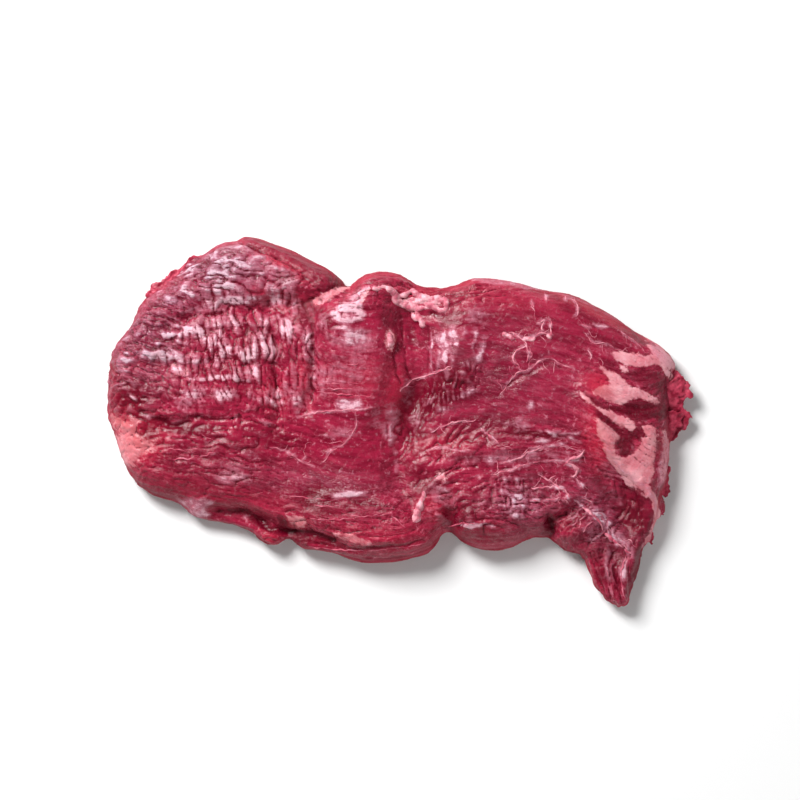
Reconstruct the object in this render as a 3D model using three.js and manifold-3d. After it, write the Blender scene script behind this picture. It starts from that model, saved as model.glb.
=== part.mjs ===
// A raw beef flank steak lying flat: one irregular slab of muscle that bunches into lobes, with a
// rolled rim, folds, seams of fat and a torn right-hand end with a narrow tail.
// Millimetres, +Z up. X runs along the grain and Y across it, and the origin is the middle of the
// flat underside. Plan points are [x, y].

import * as THREE from "three";
import { mergeVertices } from "three/addons/utils/BufferGeometryUtils.js";
import Module from "manifold-3d";

// Driving dimensions
const SLAB_THICKNESS = 16.5;
const RIM_HEIGHT = 5.5;
const FAR_ROLL = 10;
const NEAR_ROLL = 15;
const UNDERSIDE_ROLL = 5;
const UNDULATION = { height: 1.1, length: 26 };
const GRAIN_RIDGES = { height: 0.55, spacing: 8.5, length: 60, start: 3 };
const UNEVEN_RIM = { share: 0.22, length: 17, start: [0, 9] };
const UNEVEN_ROLL = { share: 0.25, length: 30, start: [4, 0] };
const WRINKLE_WANDER = { share: 1.6, length: 14, spacing: 9, start: 7 };
const WRINKLE_PATCHES = { mean: 0.65, share: 0.35, length: 11, start: 5 };
const WRINKLE_MIDDLE = 1.2;
const PATH_FADE = [0.12, 0.88];

// How finely the surface is divided
const STATION_STEPS = [
  { until: -128, step: 2.6 },
  { until: -44, step: 2.1 },
  { until: 22, step: 2.8 },
  { until: 92, step: 3.4 },
  { until: 139, step: 2.7 },
];
const END_STEPS = [0.25, 0.9, 2];
const RIM_STEPS = [0.5, 1.6, 3.4, 6];
const TOP_SPANS = 27;
const UNDERSIDE_STEPS = [1.2, 4, 8];
const UNDERSIDE_SPANS = 2;

// The rim seen from above, left to right: the far edge and the near edge, which share both ends
const LEFT_END = [-147, 8];
const RIGHT_END = [138.4, 27];
const FAR_EDGE = [
  LEFT_END, [-146.4, 19], [-144.5, 35], [-138, 44.5], [-131, 57], [-125.5, 64.5], [-114, 73],
  [-105, 79.5], [-98, 84], [-93.5, 87.5], [-87.5, 90], [-80.8, 91], [-79, 93.2],
  [-74, 92.9], [-62.5, 89.5], [-48, 83], [-35, 76.5], [-30.5, 73], [-26, 67.5], [-22.5, 71],
  [-11.5, 75.5], [0, 74], [9.5, 68.5], [20, 67.5], [31, 69.8], [33, 71.6], [44, 72.2], [62.5, 69],
  [72.5, 66], [85, 64.5], [105, 54.5], [121, 43.7], [132.5, 37], [137.4, 31], RIGHT_END,
];
const NEAR_EDGE = [
  LEFT_END, [-146.4, 1], [-143, -7], [-139, -20], [-135, -27.5], [-131, -32.5], [-122.5, -37.5],
  [-110, -41.5], [-104.5, -47.5], [-87.5, -51.5], [-77.5, -54], [-73, -56.5], [-70, -59.5],
  [-64, -62], [-59.5, -61], [-56.5, -57.8], [-49.5, -63.5], [-35, -66.2], [-20, -70.5],
  [-8, -71], [7.5, -68.5], [15, -65.5], [18, -62.5], [23, -54.5], [31, -60.5], [42.5, -65],
  [56, -63.2], [66, -58.5], [71.5, -58], [79, -62], [83, -65.6], [90, -66.5], [94, -74],
  [96.5, -80.5], [103.5, -90], [108, -92.8], [112.5, -93.2], [116, -90.5], [117, -84],
  [120, -73], [121.5, -64.5], [125.5, -57.5], [129.5, -46], [130.5, -38], [134.3, -30],
  [135, -19], [136, -9.5], [136.9, 9], RIGHT_END,
];

// Swellings and hollows: where, how far they reach along their own two axes, turned by how much
const MOUNDS = [
  { name: "left lobe", at: [-92, 22], reach: [44, 34], turn: 0, lift: 6.5 },
  { name: "left shoulder", at: [-104, -22], reach: [30, 11], turn: -10, lift: 2.5 },
  { name: "far left plateau", at: [-82, 74], reach: [26, 9], turn: -8, lift: 3 },
  { name: "middle hump", at: [-27, 45], reach: [14, 27], turn: 4, lift: 9.5 },
  { name: "right lobe", at: [72, 26], reach: [36, 27], turn: -18, lift: 8.5 },
  { name: "right lobe shoulder", at: [29, 36], reach: [8, 20], turn: -8, lift: 5 },
  { name: "near middle bulge", at: [-14, -48], reach: [33, 12], turn: 4, lift: 6 },
  { name: "near right bulge", at: [46, -46], reach: [20, 11], turn: 5, lift: 6 },
  { name: "middle band", at: [45, -14], reach: [34, 9], turn: 8, lift: 3 },
  { name: "knuckle by the tail", at: [86, -54], reach: [8, 8], turn: 20, lift: 3 },
  { name: "fat shelf", at: [112, 2], reach: [13, 22], turn: 20, lift: 3.5 },
  { name: "hollow inside the lip", at: [111, -42], reach: [9, 14], turn: 15, lift: -8 },
  { name: "tail", at: [108, -80], reach: [12, 14], turn: 10, lift: -3.5 },
  { name: "low left corner", at: [-138, -6], reach: [12, 22], turn: 0, lift: -2.5 },
  { name: "low ledge under the near fold", at: [-82, -51], reach: [24, 5], turn: -8, lift: -5 },
];

// Raised cords and rolled lips along a path
const RIDGES = [
  { name: "crest of the hump", path: [[-11, 69], [-10, 46], [-12, 22], [-16, 4]], width: 5, lift: 3 },
  {
    name: "rolled fat lip",
    path: [[93, 14], [101, -4], [107, -17], [118, -28], [125, -37], [126, -47], [121, -59]],
    width: 5, lift: 5.5,
  },
  {
    name: "seam down to the tail",
    path: [[78, -29], [84, -38], [95, -47], [102, -55], [111, -61], [117, -68]],
    width: 2, lift: 2.6,
  },
  { name: "tail spine", path: [[117, -66], [114, -78], [112, -90]], width: 2.2, lift: 3 },
  { name: "tail flank", path: [[103, -72], [106, -82], [109, -90]], width: 2, lift: 1.8 },
  { name: "near strand", path: [[-40, -55], [-20, -58], [6, -61], [16, -56]], width: 2.6, lift: 2.2 },
  { name: "strand over the valley", path: [[10, -24], [20, -19], [36, -14], [66, -12]], width: 3, lift: 2.2 },
  { name: "second strand", path: [[12, -34], [28, -26], [50, -26], [72, -20]], width: 2.8, lift: 1.9 },
  { name: "far left band", path: [[-120, 60], [-104, 66], [-86, 68], [-72, 64]], width: 3.2, lift: 2 },
];

// Furrows between the lobes and folds
const FURROWS = [
  {
    name: "far notch",
    path: [[-26, 67], [-38, 61], [-50, 60], [-62, 59], [-73, 56]],
    width: 4.6, depth: 6.5,
  },
  { name: "saddle beside the hump", path: [[4, 62], [6, 38], [9, 22], [7, 8]], width: 6, depth: 5 },
  {
    name: "middle valley",
    path: [[14, 24], [6, 6], [1, -12], [-1, -30], [5, -42], [16, -50], [23, -55]],
    width: 5.5, depth: 4,
  },
  {
    name: "left of the hump",
    path: [[-45, 56], [-43.5, 42], [-43, 30], [-44, 16], [-48, 6]],
    width: 2.6, depth: 5,
  },
  {
    name: "left lobe fold",
    path: [[-66, 60], [-63.5, 44], [-62, 28], [-60.5, 10], [-62, -2]],
    width: 2.4, depth: 4,
  },
  {
    name: "near left crevice",
    path: [[-94, -44.5], [-80, -45], [-69, -49.5], [-56, -54.5], [-42, -57], [-28, -60.5]],
    width: 2.6, depth: 8.5,
  },
  { name: "near notch", path: [[24, -55], [26, -47], [24, -38]], width: 3.4, depth: 6 },
  {
    name: "pocket by the knuckle",
    path: [[72, -55], [78, -50.5], [87, -44], [93, -41]],
    width: 3.2, depth: 8,
  },
  {
    name: "behind the knuckle",
    path: [[80, -63], [90, -60], [100, -56.5], [108, -60]],
    width: 2.2, depth: 4,
  },
  { name: "inside the seam", path: [[103, -62], [108, -67], [114, -68]], width: 2.2, depth: 3 },
  { name: "torn right edge", path: [[132, 20], [135, 8], [136, -8]], width: 1.8, depth: 3.5 },
  {
    name: "fibres pulled into the valley",
    path: [[7, -31], [11, -24], [20, -18], [28, -17]],
    width: 1.6, depth: 2.6,
  },
  { name: "under the strand", path: [[10, -28], [22, -24], [33, -21], [40, -24]], width: 1.5, depth: 2.4 },
  {
    name: "left corner crease",
    path: [[-128, 4], [-118, 0], [-105, -1.5], [-92, 1], [-78, 2]],
    width: 2, depth: 3,
  },
  { name: "far left crease", path: [[-122, 44], [-105, 52], [-92, 55], [-80, 54]], width: 2, depth: 2.6 },
  {
    name: "middle left crease",
    path: [[-124, 30], [-104, 28], [-86, 31], [-72, 24]],
    width: 1.8, depth: 2.2,
  },
  {
    name: "rim of the far strip",
    path: [[-79, 90], [-68, 84], [-57, 79], [-47, 72], [-39, 65]],
    width: 2, depth: 2.8,
  },
  { name: "valley fibre left", path: [[0, 52], [-1, 36], [-2, 24]], width: 1.5, depth: 2.2 },
  { name: "valley fibre right", path: [[15, 46], [14, 34], [14, 26]], width: 1.4, depth: 2 },
  { name: "band on the right lobe", path: [[52, 18], [62, 26], [74, 31], [88, 24]], width: 2.4, depth: 1.3 },
  { name: "first gap in the fat", path: [[92, 16], [104, 9], [118, 5], [132, 0]], width: 2.4, depth: 2.2 },
  { name: "second gap in the fat", path: [[95, 8], [104, 0], [113, -7], [119, -8]], width: 2.2, depth: 2 },
];

// Fields of parallel wrinkles: within reach of a centre, running at an angle to X
const WRINKLES = [
  { name: "left lobe", at: [-84, 30], reach: [42, 24], run: 82, spacing: 6.2, height: 1.15 },
  { name: "far left", at: [-84, 74], reach: [34, 12], run: 25, spacing: 6.5, height: 0.8 },
  { name: "left end", at: [-132, 30], reach: [16, 32], run: 18, spacing: 6.8, height: 0.7 },
  { name: "near left", at: [-95, -18], reach: [42, 14], run: -4, spacing: 7, height: 0.7 },
  { name: "near middle", at: [-14, -52], reach: [36, 14], run: 3, spacing: 6.6, height: 0.9 },
  { name: "near right", at: [45, -40], reach: [24, 18], run: 8, spacing: 7, height: 0.8 },
  { name: "hollow", at: [111, -42], reach: [12, 18], run: 65, spacing: 6, height: 0.9 },
];

// Torn edges: a ragged outline in plan, thick and high at its root, thin and low at its reach
const TORN_SHEETS = [
  {
    name: "right fringe",
    outline: [
      [131, 27], [138, 26], [142.5, 21.5], [145.5, 18.5], [145.3, 15.5], [147, 12.8], [146.2, 11.4],
      [143.6, 12.4], [142.2, 9], [142.6, 6.6], [144.4, 4.6], [146.9, 2.2], [144.8, 1.2], [145, -1.2],
      [143.8, -4], [141.4, -4.4], [139.4, -7], [136, -9.6], [131, -8],
    ],
    root: [131, 8], rootHeight: 8.5, tipHeight: 4.5, thickness: 5, reach: 16,
  },
  {
    name: "far left fringe",
    outline: [
      [-121, 60], [-127, 64.6], [-125, 68.4], [-123, 70], [-121, 69.2], [-119.2, 71.6],
      [-117, 70.8], [-116.4, 73.6], [-115, 76.2], [-112.6, 76.6], [-110, 75.6], [-109, 79.4],
      [-106, 82.2], [-102.6, 83.2], [-98.6, 84], [-96, 78], [-108, 68],
    ],
    root: [-106, 68], rootHeight: 9, tipHeight: 6.5, thickness: 4.4, reach: 20,
  },
];

// Loose shreds that peep out from under the rim: a path with a height at each point
const SHREDS = [
  {
    name: "low scrap",
    path: [[129, -22, 4.4], [133.6, -28, 4], [134.4, -32.6, 3.4]],
    width: 3, thickness: 2.4,
  },
  {
    name: "dark scrap",
    path: [[126, -35, 4.4], [131, -39, 4], [131.6, -44, 3.6], [128, -50, 3.2]],
    width: 2.4, thickness: 2.4,
  },
  {
    name: "hanging shred",
    path: [[121, -52, 4], [125, -57, 3.6], [126.6, -61.8, 3]],
    width: 2, thickness: 1.8,
  },
  {
    name: "near flap",
    path: [[-74, -50, 5], [-67, -56.4, 5], [-61, -60.4, 4]],
    width: 5, thickness: 3.2,
  },
];

// Cords and nodules of fat that lie on the surface, half sunk in it
const FAT_CORDS = [
  {
    name: "hump strand",
    path: [[-13, 67], [-10, 67.5], [-6, 65.5], [-2, 62.5], [2, 59], [6, 57]],
    width: 1.7,
  },
  {
    name: "hump bridge",
    path: [[-1, 62], [4, 64], [8.5, 65], [13, 62.5], [17, 61], [21, 60.5], [23.5, 58], [21, 55], [17.6, 56]],
    width: 2,
  },
  { name: "inner strand", path: [[0, 59], [5, 57.5], [10, 56.5], [14, 58.5], [17, 57]], width: 1.6 },
  { name: "bridge foot", path: [[8, 57], [8.6, 52], [11, 50], [12.5, 46.6]], width: 2 },
  { name: "hump nodule", path: [[-4.6, 45], [-3.4, 40], [-4, 36]], width: 1.8 },
  { name: "near nodule", path: [[11, -38], [9, -45], [7.4, -51]], width: 1.8 },
  {
    name: "zigzag",
    path: [[91, -14], [87, -19], [82.5, -19.5], [86, -22], [88, -25], [86, -28.5]],
    width: 1.2,
  },
];
const CORD_SIDES = 6;
const CORD_SINK = 0.25;
const CORD_FLATNESS = 0.8;
const STRIP_TAPER = [0.06, 0.97];
const SHEET_TIP_SHARE = 0.35;
const WELD = 1e-4;

const MEAT = new THREE.MeshStandardMaterial({ color: 0x98263f, roughness: 0.38, metalness: 0 });

const SCRAMBLE = { across: 127.1, up: 311.7, gain: 43758.5453 };

const clamp01 = (v) => THREE.MathUtils.clamp(v, 0, 1);

/** A smooth curve in plan through the points, as a line of short steps. */
function planLine(points, stepsEach = 6) {
  const through = points.map(([x, y]) => new THREE.Vector3(x, y, 0));
  const curve = new THREE.CatmullRomCurve3(through, false, "centripetal");
  return curve.getPoints((points.length - 1) * stepsEach);
}

/** The nearest place on a line to (x, y): how far, and how far along as a share of the line. */
function nearest(line, x, y) {
  let best = { distance: Infinity, share: 0 };
  for (let i = 1; i < line.length; i++) {
    const a = line[i - 1];
    const dx = line[i].x - a.x;
    const dy = line[i].y - a.y;
    const t = clamp01(((x - a.x) * dx + (y - a.y) * dy) / (dx * dx + dy * dy));
    const distance = Math.hypot(x - a.x - t * dx, y - a.y - t * dy);
    const share = (i - 1 + t) / (line.length - 1);
    if (distance < best.distance) best = { distance, share };
  }
  return best;
}

/** A repeatable number from 0 to 1 for a cell of a grid. */
function cellValue(i, j) {
  const scrambled = Math.sin(i * SCRAMBLE.across + j * SCRAMBLE.up) * SCRAMBLE.gain;
  return scrambled - Math.floor(scrambled);
}

/** Smooth noise from -1 to 1 with cells of size 1. */
function noise(x, y) {
  const i = Math.floor(x);
  const j = Math.floor(y);
  const u = THREE.MathUtils.smoothstep(x - i, 0, 1);
  const v = THREE.MathUtils.smoothstep(y - j, 0, 1);
  const near = THREE.MathUtils.lerp(cellValue(i, j), cellValue(i + 1, j), u);
  const far = THREE.MathUtils.lerp(cellValue(i, j + 1), cellValue(i + 1, j + 1), u);
  return 2 * THREE.MathUtils.lerp(near, far, v) - 1;
}

/** A factor that wanders about 1 from place to place. */
function uneven({ share, length, start }, x, y) {
  return 1 + share * noise(x / length + start[0], y / length + start[1]);
}

/** (x, y) seen from a centre along axes turned by some degrees. */
function turned([cx, cy], degrees, x, y) {
  const a = THREE.MathUtils.degToRad(degrees);
  const along = (x - cx) * Math.cos(a) + (y - cy) * Math.sin(a);
  const across = (y - cy) * Math.cos(a) - (x - cx) * Math.sin(a);
  return [along, across];
}

/** 1 at a centre, falling smoothly to 0 over the reach along each of two turned axes. */
function falloff({ at, reach, turn = 0 }, x, y) {
  const [along, across] = turned(at, turn, x, y);
  return Math.exp(-0.5 * ((along / reach[0]) ** 2 + (across / reach[1]) ** 2));
}

const farLine = planLine(FAR_EDGE);
const nearLine = planLine(NEAR_EDGE);
const ridgeLines = RIDGES.map((r) => planLine(r.path));
const furrowLines = FURROWS.map((f) => planLine(f.path));

/** The y of an edge line at x. */
function edgeAt(line, x) {
  const i = Math.max(1, line.findIndex((p) => p.x >= x));
  const [a, b] = [line[i - 1], line[i]];
  return THREE.MathUtils.lerp(a.y, b.y, clamp01((x - a.x) / (b.x - a.x)));
}

/** 1 on a path, falling off across it in a rounded bump that fades out at its two ends. */
function acrossPath(line, width, x, y) {
  const { distance, share } = nearest(line, x, y);
  const ends = Math.sqrt(Math.sin(Math.PI * THREE.MathUtils.lerp(...PATH_FADE, share)));
  return ends * Math.exp(-((distance / width) ** 2));
}

/** Height of one field of wrinkles: ridges with round tops and narrow valleys. */
function wrinkleHeight(field, x, y) {
  const [along, across] = turned(field.at, field.run, x, y);
  const { share, length, spacing, start } = WRINKLE_WANDER;
  const wander = share * noise(along / length + start, across / spacing);
  const wave = 2 * Math.abs(Math.sin(Math.PI * (across / field.spacing + wander))) - WRINKLE_MIDDLE;
  const patch = noise(along / WRINKLE_PATCHES.length, across / WRINKLE_PATCHES.length + WRINKLE_PATCHES.start);
  const strength = WRINKLE_PATCHES.mean + WRINKLE_PATCHES.share * patch;
  return field.height * falloff(field, x, y) * strength * wave;
}

/** Thickness of the meat well inside the rim. */
function thicknessAt(x, y) {
  let z = SLAB_THICKNESS + UNDULATION.height * noise(x / UNDULATION.length, y / UNDULATION.length);
  const acrossShare = (edgeAt(farLine, x) - y) / GRAIN_RIDGES.spacing;
  z += GRAIN_RIDGES.height * noise(x / GRAIN_RIDGES.length + GRAIN_RIDGES.start, acrossShare);
  for (const m of MOUNDS) z += m.lift * falloff(m, x, y);
  RIDGES.forEach((r, i) => (z += r.lift * acrossPath(ridgeLines[i], r.width, x, y)));
  FURROWS.forEach((f, i) => (z -= f.depth * acrossPath(furrowLines[i], f.width, x, y)));
  for (const w of WRINKLES) z += wrinkleHeight(w, x, y);
  return z;
}

/** How far a rolled edge has risen, from 0 at the rim to 1 a whole roll inside it. */
const rolled = (rolls) => Math.sqrt(1 - (1 - clamp01(rolls)) ** 2);

/** How far (x, y) is inside the rim, as a share of the roll of the edge beside it. */
function insideRolls(x, y, farRoll, nearRoll) {
  const far = nearest(farLine, x, y).distance / farRoll;
  const near = nearest(nearLine, x, y).distance / nearRoll;
  return Math.min(far, near);
}

const rimHeight = (x, y) => RIM_HEIGHT * uneven(UNEVEN_RIM, x, y);

/** A point of the upper surface over (x, y). */
function topPoint(x, y) {
  const rim = rimHeight(x, y);
  const wander = uneven(UNEVEN_ROLL, x, y);
  const rise = rolled(insideRolls(x, y, FAR_ROLL * wander, NEAR_ROLL * wander));
  return new THREE.Vector3(x, y, rim + (thicknessAt(x, y) - rim) * rise);
}

/** A point of the underside below (x, y), flat once it is a roll's width inside the rim. */
function undersidePoint(x, y) {
  const rise = rolled(insideRolls(x, y, UNDERSIDE_ROLL, UNDERSIDE_ROLL));
  return new THREE.Vector3(x, y, rimHeight(x, y) * (1 - rise));
}

/** Places along X: close together at both ends, then at the step each stretch asks for. */
function stations() {
  const places = END_STEPS.map((s) => LEFT_END[0] + s);
  const lastPlaces = END_STEPS.map((s) => RIGHT_END[0] - s).reverse();
  for (const { until, step } of STATION_STEPS) {
    const stop = Math.min(until, lastPlaces[0]);
    while (places.at(-1) + step < stop) places.push(places.at(-1) + step);
  }
  return [...places, ...lastPlaces];
}

/** Places across Y from one edge to the other: graded steps inside both rims, even spans between. */
function acrossPlaces(low, high, steps, spans) {
  const shrink = Math.min(1, (high - low) / (3 * steps.at(-1)));
  const graded = [0, ...steps.map((s) => s * shrink)];
  const [from, to] = [low + graded.at(-1), high - graded.at(-1)];
  const middle = Array.from({ length: spans - 1 }, (_, i) => from + ((to - from) * (i + 1)) / spans);
  return [...graded.map((s) => low + s), ...middle, ...graded.map((s) => high - s).reverse()];
}

/** The closed ring of points round the steak at one station. */
function ring(x) {
  const [low, high] = [edgeAt(nearLine, x), edgeAt(farLine, x)];
  const top = acrossPlaces(low, high, RIM_STEPS, TOP_SPANS).map((y) => topPoint(x, y));
  const underPlaces = acrossPlaces(low, high, UNDERSIDE_STEPS, UNDERSIDE_SPANS);
  const under = underPlaces.slice(1, -1).map((y) => undersidePoint(x, y));
  return [...top, ...under.reverse()];
}

/** Skins rings of equal count, and closes both ends to a point. */
function skin(rings, first, last) {
  const faces = [];
  const count = rings[0].length;
  for (let j = 0; j < count; j++) {
    const k = (j + 1) % count;
    faces.push([first, rings[0][j], rings[0][k]]);
    faces.push([rings.at(-1)[j], last, rings.at(-1)[k]]);
    for (let i = 1; i < rings.length; i++) {
      const [a, b, c, d] = [rings[i - 1][j], rings[i][j], rings[i][k], rings[i - 1][k]];
      const shorter = a.distanceTo(c) < b.distanceTo(d);
      faces.push(...(shorter ? [[a, b, c], [a, c, d]] : [[a, b, d], [b, c, d]]));
    }
  }
  return new THREE.BufferGeometry().setFromPoints(faces.flat());
}

function slabGeometry() {
  const [left, right] = [LEFT_END, RIGHT_END].map(([x, y]) => topPoint(x, y));
  return skin(stations().map(ring), left, right);
}

/** A tapering strip with a rounded section along a path in space. */
function stripGeometry(path, width, thickness) {
  const through = path.map((p) => new THREE.Vector3(...p));
  const curve = new THREE.CatmullRomCurve3(through, false, "centripetal");
  const count = 2 * (path.length - 1) + 1;
  const up = new THREE.Vector3(0, 0, 1);
  const rings = [];
  for (let i = 1; i < count; i++) {
    const t = i / count;
    const centre = curve.getPointAt(t);
    const side = new THREE.Vector3().crossVectors(up, curve.getTangentAt(t)).normalize();
    const taper = Math.sqrt(Math.sin(Math.PI * THREE.MathUtils.lerp(...STRIP_TAPER, t)));
    const ringPoint = (_, s) => {
      const a = (-2 * Math.PI * s) / CORD_SIDES;
      const point = centre.clone().addScaledVector(side, width * taper * Math.cos(a));
      return point.addScaledVector(up, thickness * taper * Math.sin(a));
    };
    rings.push(Array.from({ length: CORD_SIDES }, ringPoint));
  }
  return skin(rings, curve.getPointAt(0), curve.getPointAt(1));
}

/** A cord of fat that follows the upper surface. */
function fatCordGeometry({ path, width }) {
  const resting = path.map(([x, y]) => [x, y, topPoint(x, y).z + CORD_SINK * width]);
  return stripGeometry(resting, width, CORD_FLATNESS * width);
}

/** A torn sheet: the ragged outline thickened, then drooped and thinned away from its root. */
function tornSheetGeometry({ outline, root, rootHeight, tipHeight, thickness, reach }) {
  const shape = new THREE.Shape(outline.map(([x, y]) => new THREE.Vector2(x, y)));
  const geometry = new THREE.ExtrudeGeometry(shape, { depth: 1, bevelEnabled: false });
  const position = geometry.getAttribute("position");
  for (let i = 0; i < position.count; i++) {
    const fromRoot = Math.hypot(position.getX(i) - root[0], position.getY(i) - root[1]);
    const away = clamp01(fromRoot / reach);
    const middle = THREE.MathUtils.lerp(rootHeight, tipHeight, away);
    const half = (thickness / 2) * THREE.MathUtils.lerp(1, SHEET_TIP_SHARE, away ** 2);
    position.setZ(i, middle + (2 * position.getZ(i) - 1) * half);
  }
  return geometry;
}

const wasm = await Module();
wasm.setup();

/** A closed geometry as a solid that can be joined. */
function solidOf(geometry) {
  const plain = geometry.clone();
  plain.deleteAttribute("normal");
  plain.deleteAttribute("uv");
  const merged = mergeVertices(plain, WELD);
  const mesh = new wasm.Mesh({
    numProp: 3,
    vertProperties: merged.attributes.position.array,
    triVerts: new Uint32Array(merged.index.array),
  });
  return new wasm.Manifold(mesh);
}

/** A solid back as a geometry with flat faces. */
function geometryOf(solid) {
  const mesh = solid.getMesh();
  const geometry = new THREE.BufferGeometry();
  const points = new Float32Array(mesh.vertProperties);
  geometry.setAttribute("position", new THREE.BufferAttribute(points, 3));
  geometry.setIndex(new THREE.BufferAttribute(new Uint32Array(mesh.triVerts), 1));
  const flat = geometry.toNonIndexed();
  flat.computeVertexNormals();
  return flat;
}

/** The slab with its torn sheets, shreds and cords of fat joined to it. */
function steakGeometry() {
  const sheets = TORN_SHEETS.map(tornSheetGeometry);
  const shreds = SHREDS.map((s) => stripGeometry(s.path, s.width, s.thickness));
  const cords = FAT_CORDS.map(fatCordGeometry);
  let whole = solidOf(slabGeometry());
  for (const piece of [...sheets, ...shreds, ...cords]) whole = whole.add(solidOf(piece));
  return geometryOf(whole);
}

const steak = new THREE.Mesh(steakGeometry(), MEAT);
steak.name = "flank_steak";

const root = new THREE.Group();
root.add(steak);

export default root;
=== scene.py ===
"""Dresses a raw flank steak: fine relief, fibres, films, fat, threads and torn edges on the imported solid."""

import logging
import math
from collections.abc import Callable
from dataclasses import dataclass
from enum import Enum

import bpy
import numpy as np
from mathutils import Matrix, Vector


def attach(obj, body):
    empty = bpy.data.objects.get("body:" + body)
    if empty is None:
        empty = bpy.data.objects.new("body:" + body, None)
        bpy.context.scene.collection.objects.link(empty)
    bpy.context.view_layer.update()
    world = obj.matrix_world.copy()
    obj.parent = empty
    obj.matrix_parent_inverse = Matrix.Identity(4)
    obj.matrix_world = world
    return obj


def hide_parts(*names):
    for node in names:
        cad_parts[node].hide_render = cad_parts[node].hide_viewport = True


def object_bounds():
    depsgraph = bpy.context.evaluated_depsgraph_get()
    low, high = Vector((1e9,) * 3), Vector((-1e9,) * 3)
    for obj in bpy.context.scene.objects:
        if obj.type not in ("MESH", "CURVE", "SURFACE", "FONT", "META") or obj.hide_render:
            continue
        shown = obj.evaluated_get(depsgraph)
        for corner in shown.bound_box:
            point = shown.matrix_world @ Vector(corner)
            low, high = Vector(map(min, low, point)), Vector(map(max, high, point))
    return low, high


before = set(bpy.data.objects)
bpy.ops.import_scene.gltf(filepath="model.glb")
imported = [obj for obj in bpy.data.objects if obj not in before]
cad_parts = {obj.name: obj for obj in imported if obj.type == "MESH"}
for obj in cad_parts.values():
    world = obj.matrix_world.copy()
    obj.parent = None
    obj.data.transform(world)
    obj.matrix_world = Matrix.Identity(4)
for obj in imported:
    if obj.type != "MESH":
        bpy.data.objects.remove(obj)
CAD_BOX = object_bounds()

NODE = "flank_steak"
MM = 0.001
TINY = 1e-9

Point = tuple[float, float]
# The x and y of points in turn, in millimetres in plan
Path = tuple[float, ...]
Colour = tuple[float, float, float]
Array = np.ndarray
Piece = bpy.types.Object
Socket = bpy.types.NodeSocket

log = logging.getLogger("steak")


def srgb(red: int, green: int, blue: int) -> Colour:
    """Turns a colour as it is seen on screen, 0 to 255, into the linear one that a shader takes."""
    return tuple(((v / 255 + 0.055) / 1.055) ** 2.4 if v > 10 else v / 3294.6 for v in (red, green, blue))


def eased(value: Array, low: float, high: float) -> Array:
    """0 below low and 1 above high, with a smooth step between."""
    t = np.clip((value - low) / (high - low), 0, 1)
    return t * t * (3 - 2 * t)


def tapered(share: Array, blunt: float) -> Array:
    """How thick a line is that narrows to both ends, at a share of its length."""
    return np.sqrt(np.sin(math.pi * (blunt + (1 - 2 * blunt) * share)))


def smooth_path(points: Path, step: float = 1.0) -> Array:
    """A smooth curve in plan through given points.

    Args:
        points: The points' coordinates.
        step: The distance between the points given back, in millimetres.

    Returns:
        The curve's points, one row each.
    """
    p = np.reshape(points, (-1, 2)).astype(float)
    p = np.vstack([2 * p[0] - p[1], p, 2 * p[-1] - p[-2]])
    out = []
    for a, b, c, d in zip(p[:-3], p[1:-2], p[2:-1], p[3:]):
        count = max(1, round(float(np.linalg.norm(c - b)) / step))
        t = (np.arange(count) / count)[:, None]
        curve = 2 * b + (c - a) * t + (2 * a - 5 * b + 4 * c - d) * t**2 + (3 * b - a - 3 * c + d) * t**3
        out.append(curve / 2)
    return np.vstack([*out, p[-2:-1]])


def measured(line: Array, margin: float, x: Array, y: Array) -> tuple[Array, Array, Array]:
    """Measures how far places lie from a line of straight parts.

    Args:
        line: The line's points, one row each.
        margin: How far round the line places are looked at.
        x: Places along the first axis.
        y: Places along the second axis.

    Returns:
        The numbers of the places looked at, and for each of them and each part the gap between the two and
        how far along the part it falls, from 0 to 1.
    """
    low, high = line.min(0) - margin, line.max(0) + margin
    near = np.flatnonzero((x > low[0]) & (x < high[0]) & (y > low[1]) & (y < high[1]))
    dx, dy = np.diff(line, axis=0).T
    px, py = x[near, None] - line[:-1, 0], y[near, None] - line[:-1, 1]
    t = np.clip((px * dx + py * dy) / np.maximum(dx * dx + dy * dy, TINY), 0, 1)
    return near, np.hypot(px - t * dx, py - t * dy), t


class Noise:
    """Smooth repeatable noise on a lattice, drawn once from a seed."""

    SIDE = 256
    # Frequency, weight and shift of each layer of rough noise
    LAYERS = ((1, 1, 0, 0), (2.1, 0.5, 9, 0), (4.3, 0.25, 0, 5))
    SPAN = 1.4

    def __init__(self, seed: int) -> None:
        """Draws the lattice."""
        self.lattice = np.random.default_rng(seed).uniform(-1, 1, (self.SIDE, self.SIDE))

    def at(self, x: Array, y: Array) -> Array:
        """Looks up plain noise with cells of size 1.

        Args:
            x: Places along the first axis.
            y: Places along the second axis.

        Returns:
            A value from -1 to 1 for each place.
        """
        i, j = np.floor(x).astype(int), np.floor(y).astype(int)
        u, v = (t * t * (3 - 2 * t) for t in (x - i, y - j))
        a, b, c, d = (n % self.SIDE for n in (i, i + 1, j, j + 1))
        low = self.lattice[a, c] * (1 - u) + self.lattice[b, c] * u
        high = self.lattice[a, d] * (1 - u) + self.lattice[b, d] * u
        return low * (1 - v) + high * v

    def rough(self, x: Array, y: Array) -> Array:
        """Noise of three sizes laid over each other."""
        return sum(w * self.at(f * x + p, f * y + q) for f, w, p, q in self.LAYERS) / self.SPAN

    def ridged(self, x: Array, y: Array) -> Array:
        """Noise with narrow valleys between round tops, from -1 to 1."""
        return 2 * np.sqrt(np.abs(self.at(x, y))) - 1.1


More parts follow.
